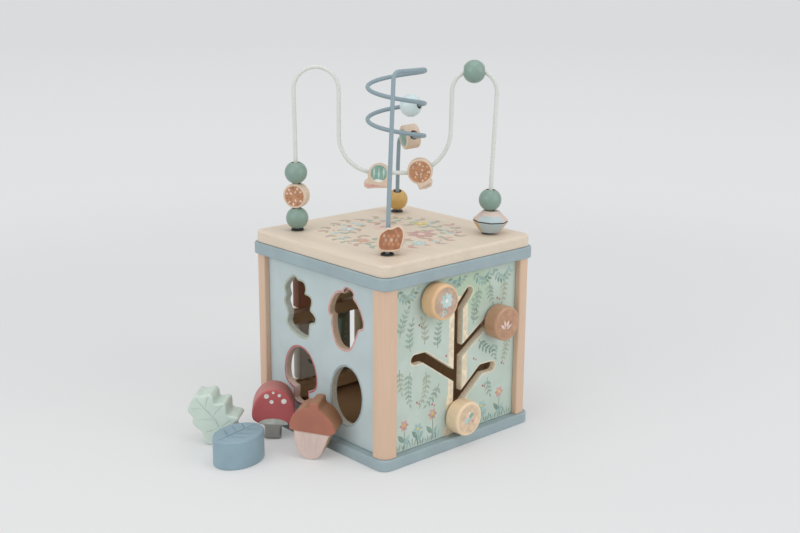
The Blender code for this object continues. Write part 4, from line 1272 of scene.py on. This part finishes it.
def white_leg(side):
    corner = WHITE_CORNERS[0] if side < 0 else WHITE_CORNERS[-1]
    foot = ACROSS * (FOOT_REACH * side) + UP * COLLAR_HIGH
    return (ACROSS * corner[0] * MM + UP * corner[1] * MM - foot).normalized()


def blue_leg(foot, corner):
    place = maze_point(*(value * MM for value in corner[:3]))
    return (place - Vector((*foot, COLLAR_LOW))).normalized()


LEGS = {
    "left": white_leg(-1),
    "right": white_leg(1),
    "front": blue_leg(feet["front"], FRONT_LEG[1]),
    "back": blue_leg(feet["back"], BACK_LEG[1]),
}


def leg_frame(name, height):
    """A frame on a leg at a height, Z up the leg and X across the maze."""
    start, direction = Vector((*feet[name], COLLAR_HIGH)), LEGS[name]
    along = (height - COLLAR_HIGH) / direction.z
    return axis_frame(start + direction * along, direction, ACROSS)


print("lean of the left leg:", round(math.degrees(LEGS["left"].angle(UP)), 2), "degrees")


# %% Seven balls
def ball(node, place, tone):
    limit = math.degrees(math.acos(BORE / BALL))
    bm = ease(spun(arc((0, 0), BALL / 2, -limit, limit, 30), 48, closed=True), 0.6 * MM, 3, angle=40)
    tint_faces(bm, 1, lambda at, normal: at.xy.length < BORE / 2 * 1.02)
    return add_piece(node, placed(bm, place), [tone, bore_wood], smooth=50)


DISC = 11 * MM
BICONE_BELOW, BICONE_ABOVE = 10.2 * MM, 8.8 * MM
lowest = COLLAR_HIGH + GAP
disc_at = lowest + 2 * RIM_HEIGHT + GAP + DISC
bicone_at = lowest + BICONE_BELOW
ball("bead_left_lower", leg_frame("left", lowest + RIM_HEIGHT), sage)
ball("bead_left_upper", leg_frame("left", disc_at + DISC + GAP + RIM_HEIGHT), sage)
ball("bead_right_upper", leg_frame("right", bicone_at + BICONE_ABOVE + GAP + RIM_HEIGHT), sage)
ball("bead_back_ball", leg_frame("back", COLLAR_HIGH + 2 * MM + RIM_HEIGHT), mustard)
# The bead hangs on the crown of the right arch, at a distance from the centre of that bend.
ARCH_CENTRE, ARCH_BEAD = maze_point(69.85 * MM, 0, 301.7 * MM), 17.4 * MM
angle = math.radians(91)
radial = ACROSS * math.cos(angle) + UP * math.sin(angle)
along = ACROSS * math.sin(angle) - UP * math.cos(angle)
ball("bead_arch_ball", axis_frame(ARCH_CENTRE + radial * ARCH_BEAD, along), sage)
helix_place = helix_point(math.radians(420))
ahead = (helix_point(math.radians(420) + 0.01) - helix_place).normalized()
inward = (maze_point(HELIX_MIDDLE, 0, helix_place.z) - helix_place).normalized()
ball("bead_helix_ball", axis_frame(helix_place + inward * 0.85 * MM, ahead), ice)

# %% [markdown]
# ## Faceted and flat beads
# The bicone has eight facets above and below a thin groove, some of them painted. The other beads
# are slices cut from a board: a disc, a drum and simple shapes with a painted face and a bare rim.
# A slice is its outline extruded, eased and bored through its edge, along the wire.

# %% Bicone
WAIST, BELLY, GROOVE = 0.7 * MM, 16 * MM, 15 * MM
PAINT_TOP = 5.2 * MM
bicone = [(0, -BICONE_BELOW), (9 * MM, -BICONE_BELOW), (BELLY, -WAIST), (GROOVE, -WAIST / 2)]
bicone += [(GROOVE, WAIST / 2), (BELLY, WAIST), (7.4 * MM, BICONE_ABOVE), (0, BICONE_ABOVE)]
bm = carve(spun(bicone, 8), rod(BORE / 2, -21 * MM, 21 * MM))
ease(bm, 0.35 * MM, 2, angle=24, where=lambda at: at.xy.length > 5 * MM and abs(at.z) > 0.6 * MM)
split(bm, (0, 0, PAINT_TOP), (0, 0, 1))
place = leg_frame("right", bicone_at) @ Matrix.Translation((1.5 * MM, 0, 0))
facet_paints = [
    paint("bicone_blush", "d2c0b6", 0.5, 0.05),
    paint("bicone_blue", "b4c3c6", 0.48, 0.05),
    paint("bicone_gold", "c9b083", 0.5, 0.05),
    paint("bicone_pink", "cfa9a2", 0.5, 0.05),
    paint("groove_shadow", "5b5a58", 0.7, 0.1),
]
UPPER, LOWER = (0, 3, 0, 1, 0, 1, 1, 0), (2, 0, 1, 0, 2, 1, 1, 0)
for face in bm.faces:
    at = face.calc_center_median()
    facet = int(math.degrees(math.atan2(at.y, at.x)) % 360 // 45)
    if abs(face.normal.z) < 0.97 and at.xy.length > 6 * MM:
        face.material_index = 0 if at.z > PAINT_TOP else (UPPER if at.z > 0 else LOWER)[facet]
tint_faces(bm, 4, lambda at, normal: abs(at.z) < 0.6 * MM and at.xy.length > 12 * MM)
add_piece("bead_right_bicone", placed(bm, place), facet_paints, smooth=20)


# %% Slices of board
slice_wood = wood("slice_wood", "dac5b0", "z", 0.06, 0.55)


def slice_bead(node, outline, thickness, place, decorate, bore=BORE):
    """A flat bead, its outline in the frame's XZ plane and its bore along Z."""
    upright = place @ rotation(90, "X")
    bm = placed(ease(prism(outline, -thickness / 2, thickness / 2), 1.1 * MM, 3), upright)
    bm = carve(bm, rod(bore / 2, -30 * MM, 30 * MM, place))
    add_piece(node, bm, slice_wood)
    for side in (0, 1):
        mark = Print(upright @ rotation(180 * side, "Y"), thickness / 2)
        mirror = 1 if side == 0 else -1
        decorate(mark, [(x * mirror, y) for x, y in outline][:: mirror], mirror)
        mark.done(f"{node}_print_{side}", node)


def disc_print(mark, outline, mirror):
    mark.shape(offset(outline, -1.9 * MM), "terracotta")
    mark.layer = 2
    for ring_at, count in ((2.6, 5), (6.0, 11)):
        for i in range(count):
            turn = 360 * i / count
            mark.leaf(around(turn, ring_at * MM), turn, 2.9 * MM, 1.7 * MM, "blush" if i % 3 else "rust")


disc_place = leg_frame("left", disc_at) @ rotation(-17)
slice_bead("bead_left_disc", ellipse(DISC, DISC), 10 * MM, disc_place, disc_print)


# %% A test for inside an outline
def inside(outline):
    """A test of whether a point lies within an outline, by the edges to the right of it."""

    def test(point):
        hits = 0
        for (ax, ay), (bx, by) in zip(outline, outline[1:] + outline[:1]):
            if (ay > point[1]) != (by > point[1]):
                hits += point[0] < ax + (bx - ax) * (point[1] - ay) / (by - ay)
        return hits % 2 == 1

    return test


print("a point in the middle of a disc lies inside it:", inside(ellipse(MM, MM))((0, 0)))

# %% Prints on the slices
CONE_TONES = ("umber", "terracotta", "umber", "putty", "terracotta")


def cone_print(mark, outline, mirror):
    mark.shape(offset(outline, -1.7 * MM), "rust")
    mark.clear = inside(offset(outline, -2.1 * MM))
    mark.layer = 2
    rng = random.Random(5)
    for row in range(6):
        for column in range(-3, 5):
            at = ((column * 4.0 + 2.0 * (row % 2) + 3 * mirror) * MM, (row * 3.5 - 10.8) * MM)
            size = rng.uniform(3.0, 4.6) * MM
            heading = 90 + rng.uniform(-16, 16)
            mark.leaf(at, heading, size, size * 0.62, rng.choice(CONE_TONES))


def tail(outline, mirror, limit):
    """The part of a bead's outline beyond its round crown, drawn in from its edge."""
    return [(x, y) for x, y in offset(outline, -1.4 * MM) if x * mirror < limit]


def teal_print(mark, outline, mirror):
    mark.shape(moved(ellipse(7.4 * MM, 7.2 * MM, 40), (1.2 * MM * mirror, 0)), "jade")
    mark.shape(tail(outline, mirror, -7.6 * MM), "pink")
    mark.layer = 2
    for across in (-4.2, 0, 4.2):
        mark.leaf((1.1 * MM * mirror - 5.5 * MM, across * MM), 0, 11 * MM, 1.3 * MM, "aqua")
    mark.leaf((-5.4 * MM * mirror, -4.6 * MM), 90, 9.2 * MM, 2.6 * MM, "white")


def crown_print(mark, outline, mirror):
    mark.shape(ellipse(9.6 * MM, 9.6 * MM, 48), "terracotta")
    mark.shape(tail(outline, mirror, -10.4 * MM), "taupe")
    mark.layer = 2
    rng = random.Random(11)
    for _ in range(34):
        place = around(rng.uniform(0, 360), 8.4 * MM * math.sqrt(rng.random()))
        mark.dot(place, rng.uniform(0.5, 0.8) * MM, rng.choice(("rust", "straw", "blush")))


def drum_print(mark, outline, mirror):
    mark.shape(ellipse(7.8 * MM, 7.8 * MM, 40), "jade")
    mark.layer = 2
    for i in range(6):
        mark.leaf((0, 0), 60 * i, 6.4 * MM, 2.6 * MM, "deep")


print("inks on the cone's print:", sorted(set(CONE_TONES)))

# %% Front foot, valley and drum
SLICE = 11 * MM
CONE = (
    (-6.6, -11.0), (-7.6, 1.3), (-1.4, 7.4), (3.2, 8.2), (8.8, 10.4), (13.2, 7.0),
    (14.2, 1.4), (12.8, -5.7), (9.4, -11.0),
)
cone = smooth_loop(in_metres(CONE), 6)[::-1]
cone_place = leg_frame("front", COLLAR_HIGH + 12.9 * MM)
slice_bead("bead_front_cone", cone, SLICE, cone_place, cone_print)

FOOT_OF_LOBED = ((8.6, -11.6), (-4.6, -12.4), (-9.4, -13.2), (-12.8, -11.4), (-13.2, -7.8), (-10.2, -5.4))
lobed = in_metres(FOOT_OF_LOBED) + arc((0, -MM), 9.8 * MM, 196, -32, 26)
along = (ACROSS + UP * math.tan(math.radians(-2))).normalized()
lobed_place = axis_frame(maze_point(-12 * MM, 0, 229 * MM), along)
slice_bead("bead_valley_left", [(y, x) for x, y in lobed], SLICE, lobed_place, teal_print)

TRUNK = ((6.8, -8.4), (8.8, -11.0), (7.4, -14.6), (3.0, -16.0), (-4.0, -15.6), (-4.8, -10.6))
crowned = turned(in_metres(TRUNK) + arc((0, 0), 11.2 * MM, 240, -38, 30), -4)
# The bend on the valley's right, and how far from its centre the bead hangs.
VALLEY_CENTRE, VALLEY_BEAD = maze_point(12.42 * MM, 0, 268 * MM), 37.8 * MM
slope = math.radians(17.7)
radial = ACROSS * math.sin(slope) - UP * math.cos(slope)
along = ACROSS * math.cos(slope) + UP * math.sin(slope)
crowned_place = axis_frame(VALLEY_CENTRE + radial * VALLEY_BEAD, along)
slice_bead("bead_valley_right", [(y, x) for x, y in crowned], SLICE, crowned_place, crown_print)

start = helix_point(HELIX_ANGLE)
run = (maze_point(*(value * MM for value in BACK_LEG[0][:3])) - start).normalized()
drum_place = axis_frame(start + run * 32 * MM + UP * 0.3 * MM, run) @ rotation(-7, "Y") @ rotation(-6)
slice_bead("bead_drum", ellipse(11 * MM, 11 * MM), 13 * MM, drum_place, drum_print, 8.4 * MM)

# %% [markdown]
# ## Loose blocks
# Each block is cut from thick board along its outline, well rounded and painted. The veins of the
# leaf and the oval and the flutes of the acorn are carved, so they are cut here by long thin
# ellipsoids, which give a groove that swells and tapers like a gouge stroke.


# %% Gouge strokes and block frames
def gouge(start, end, level, width=0.9 * MM, depth=0.9 * MM):
    """A long thin ellipsoid on a face at a level, for a carved stroke between two points."""
    start, end = (Vector((*point, 0)) * MM for point in (start, end))
    along = end - start
    turn = Matrix.Rotation(math.atan2(along.y, along.x), 4, "Z")
    middle = Matrix.Translation((start + end) / 2 + Vector((0, 0, level)))
    size = Matrix.Diagonal((along.length * 0.56, width, depth, 1))
    bm = bmesh.new()
    bmesh.ops.create_uvsphere(bm, u_segments=24, v_segments=12, radius=1.0, matrix=middle @ turn @ size)
    return bm


def block_frame(name, place, azimuth, turn):
    """Frame of a standing block, its front face at level 0 and its lowest point on the floor."""
    foot = min(y for _, y in turned(OUTLINES[name], turn))
    upright = Matrix.Translation((*place, 0)) @ side_frame(azimuth) @ Matrix.Translation((0, -foot, 0))
    return upright @ rotation(turn)


def block(name, low, high, rounding):
    return ease(prism(OUTLINES[name], low, high), rounding, 4)


THICK = 25 * MM
print("a block is", THICK / MM, "mm thick")

# %% Leaf and oval
leaf_place = block_frame("leaf", (-53.5 * MM, -160 * MM), -48, 21)
LEAF_VEINS = (
    ((-7.3, 21.6), (2.8, -4)), ((1.6, 1), (2.6, -22)), ((-14.1, 14.8), (-5.6, 12.6)),
    ((-12.6, 3.6), (-0.7, 0.6)), ((11.6, 8.9), (1.3, 3.3)), ((3.2, 20.7), (-2.4, 12.8)),
    ((-11.6, -9.0), (1.8, -9.5)), ((14.6, -5.5), (3.4, -9.0)),
)
strokes = [gouge(start, end, 0, 0.8 * MM, 0.8 * MM) for start, end in LEAF_VEINS]
leaf_bm = carve(block("leaf", -THICK, 0, 1.8 * MM), *strokes)
add_piece("leaf_block", placed(leaf_bm, leaf_place), paint("leaf_mint", "c9d8ce", 0.5, 0.06))
OVAL_VEINS = (
    ((-2.2, -22.6), (0.2, 22.4)), ((-13.0, -3.0), (-1.4, -11.5)), ((12.4, -5.5), (-0.4, -13.5)),
    ((-14.2, 8.0), (-0.8, -1.0)), ((13.6, 6.0), (0.4, -3.0)), ((-10.4, 16.4), (-0.2, 9.0)),
    ((10.6, 15.4), (0.6, 8.0)),
)
oval_place = Matrix.Translation((-14.2 * MM, -161.5 * MM, 0)) @ rotation(104.2 - 90)
strokes = [gouge(start, end, THICK) for start, end in OVAL_VEINS]
oval_bm = carve(block("ellipse", 0, THICK, 1.4 * MM), *strokes)
add_piece("ellipse_block", placed(oval_bm, oval_place), paint("oval_blue", "8ba4b0", 0.48, 0.07))

# %% Acorn
acorn_place = block_frame("acorn", (27.8 * MM, -115.4 * MM), -55, -3)
FLUTES = (((-8.4, -3.1), (-5.7, -24.6)), ((-1.7, -3.1), (-0.6, -25.3)), ((6.2, -2.8), (4.3, -23.4)))
strokes = [gouge(start, end, 0, 1.9 * MM, 0.55 * MM) for start, end in FLUTES]
strokes += [gouge((-17, -1.2), (15, -1.6), 0, 0.55 * MM, 0.6 * MM)]
RIM_OF_CAP = -1.4 * MM
acorn_bm = carve(block("acorn", -THICK, 0, 1.4 * MM), *strokes)
split(acorn_bm, (0, RIM_OF_CAP, 0), (0.02, 1, 0))
tint_faces(acorn_bm, 1, lambda at, normal: at.y < RIM_OF_CAP - 0.02 * at.x)
tint_faces(acorn_bm, 2, lambda at, normal: abs(normal.z) < 0.55 and at.y > RIM_OF_CAP)
tint_faces(acorn_bm, 3, lambda at, normal: abs(normal.z) < 0.55 and at.y < RIM_OF_CAP)
cap = paint("acorn_cap", "a66955", 0.52, 0.07)
nut = paint("acorn_nut", "d2beb5", 0.52, 0.06)
cap_side = paint("acorn_cap_side", "a87b5e", 0.55, 0.08)
nut_side = paint("acorn_nut_side", "c3a183", 0.55, 0.07)
add_piece("acorn_block", placed(acorn_bm, acorn_place), [cap, nut, cap_side, nut_side])

# %% Mushroom
TOP_OF_STEM = -9.8 * MM
# A spot's place and radius.
SPOTS = ((-6.8, 16.1, 2.2), (-2.2, 11.1, 1.8), (4.4, 17.2, 1.5), (8.6, 11.9, 2.4), (-1.0, 19.6, 1.2))
mushroom_place = block_frame("mushroom", (-29.6 * MM, -113 * MM), -38, -3)
mushroom_bm = block("mushroom", -THICK, 0, 1.8 * MM)
split(mushroom_bm, (0, TOP_OF_STEM, 0), (0, 1, 0))
tint_faces(mushroom_bm, 1, lambda at, normal: at.y < TOP_OF_STEM)
tint_faces(mushroom_bm, 2, lambda at, normal: abs(normal.z) < 0.55 and at.y > TOP_OF_STEM)
cap_red = paint("mushroom_red", "b95b5d", 0.5, 0.08)
stem_grey = paint("mushroom_stem", "9d9c98", 0.52, 0.07)
rim_red = paint("mushroom_rim", "b97771", 0.52, 0.08)
add_piece("mushroom_block", placed(mushroom_bm, mushroom_place), [cap_red, stem_grey, rim_red])
spots = Print(mushroom_place, 0)
for x, y, radius in SPOTS:
    spots.dot((x * MM, y * MM), radius * MM, "white")
gills = [(x, y * 0.42 - 10 * MM) for x, y in arc((0, 0), 13.0 * MM, 0, 180, 30)]
spots.shape(gills, "chalk")
spots.done("mushroom_spots", "mushroom_block")

# %% [markdown]
# ## Stage, light and camera
# The toy stands on a pale seamless floor under soft light from above and from both sides, as in a
# small studio. The floor is one large sheet, wide enough to reach past the picture's top edge. Lamps
# near the toy would leave the far floor dark, so where a camera, a mirror or glass sees the floor, it
# turns into an even light with distance. Near the toy it still takes the shadow. The sky is split in
# the same way, into a light for the toy and a tone to be seen. The camera stands where the
# photograph's did, as far as the cube's corners and wires tell.


# %% Floor
def floor_recipe(place):
    clouds = place.noise(1.3, 2.0)
    grain = place.noise(700.0, 2.0)
    base = clouds.smooth(0.3, 0.7).mix(colour("e0e1e2"), colour("e4e5e5"))
    return base, 0.8 + (grain - 0.5) * 0.1, grain, 0.01 * MM


def seen(place):
    """1 for a ray that shows a surface to the camera, in a mirror or through glass."""
    camera, glossy, transmission = (
        place.node("LightPath", output=f"Is {kind} Ray") for kind in ("Camera", "Glossy", "Transmission")
    )
    return camera + glossy + transmission


pale_floor = finish("pale_floor", floor_recipe)
tree = pale_floor.node_tree
lit = Shade(tree.nodes["Principled BSDF"].outputs[0])
place = Shade(tree.nodes.new("ShaderNodeTexCoord").outputs["Object"])
away = place.node("VectorMath", {"operation": "LENGTH"}, {0: place}, output=1)
pale = away.smooth(0.6, 5.0).mix(colour("e2e3e4"), colour("dadbdc"))
even = place.node("Emission", {}, {"Color": pale, "Strength": 1.0})
share = (away.smooth(0.3, 1.2) * 0.7 + 0.3) * seen(place)
blend = place.node("MixShader", {}, {0: share, 1: lit, 2: even})
tree.links.new(blend.socket, tree.nodes["Material Output"].inputs["Surface"])

bm = bmesh.new()
bmesh.ops.create_grid(bm, x_segments=8, y_segments=8, size=40.0)
mesh = bpy.data.meshes.new("floor")
bm.to_mesh(mesh)
bm.free()
mesh.materials.append(pale_floor)
floor = linked(bpy.data.objects.new("floor", mesh))
floor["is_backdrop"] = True
print("floor faces:", len(mesh.polygons))


# %% Soft boxes
def soft_box(name, place, size, power):
    """A square lamp that looks at the middle of the toy."""
    lamp = bpy.data.lights.new(name, "AREA")
    lamp.energy = power
    lamp.size = size
    holder = linked(bpy.data.objects.new(name, lamp))
    holder.location = place
    aim = Vector((0, -0.02, 0.14)) - Vector(place)
    holder.rotation_euler = aim.to_track_quat("-Z", "Y").to_euler()


soft_box("overhead", (0.1, -0.1, 1.7), 1.6, 8.0)
soft_box("front_side", (0.05, -1.6, 0.85), 1.3, 8.2)
soft_box("right_side", (1.45, 0.6, 0.8), 1.3, 8.0)
print("lamps:", len(bpy.data.lights))

# %% Sky
world = bpy.data.worlds.new("studio")
world.use_nodes = True
tree = world.node_tree
light = Shade(tree.nodes["Background"].outputs[0])
tree.nodes["Background"].inputs["Color"].default_value = (1.0, 1.0, 1.0, 1.0)
tree.nodes["Background"].inputs["Strength"].default_value = 0.58
shown = light.node("Background", {}, {"Color": colour("dadbdc"), "Strength": 1.0})
blend = light.node("MixShader", {}, {0: seen(light), 1: light, 2: shown})
tree.links.new(blend.socket, tree.nodes["World Output"].inputs["Surface"])
bpy.context.scene.world = world
bpy.context.scene.view_settings.view_transform = "Standard"
print("sky nodes:", len(tree.nodes))

# %% Camera
FOCAL_PIXELS, PICTURE_WIDTH, SENSOR = 1241.68, 800, 36.0
yaw, pitch, roll = (math.radians(value) for value in (47.45, 14.73, 0.40))
forward = Vector((-math.sin(yaw) * math.cos(pitch), math.cos(yaw) * math.cos(pitch), -math.sin(pitch)))
level = Vector((math.cos(yaw), math.sin(yaw), 0))
rise = level.cross(forward)
right = level * math.cos(roll) + rise * math.sin(roll)
top = rise * math.cos(roll) - level * math.sin(roll)
lens = bpy.data.cameras.new("camera")
lens.sensor_width = SENSOR
lens.lens = FOCAL_PIXELS / PICTURE_WIDTH * SENSOR
lens.clip_start = 0.05
lens.clip_end = 80.0
camera = linked(bpy.data.objects.new("camera", lens))
camera.matrix_world = Matrix((right, top, -forward)).transposed().to_4x4()
camera.location = (0.79795, -0.72310, 0.42779)
bpy.context.scene.camera = camera
print("lens:", round(lens.lens, 2), "mm")

# %% Sizes and finish
made_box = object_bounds()
differences = [abs(a - b) for cad, made in zip(cad_box, made_box) for a, b in zip(cad, made)]
print("largest difference in mm:", round(max(differences) / MM, 2))
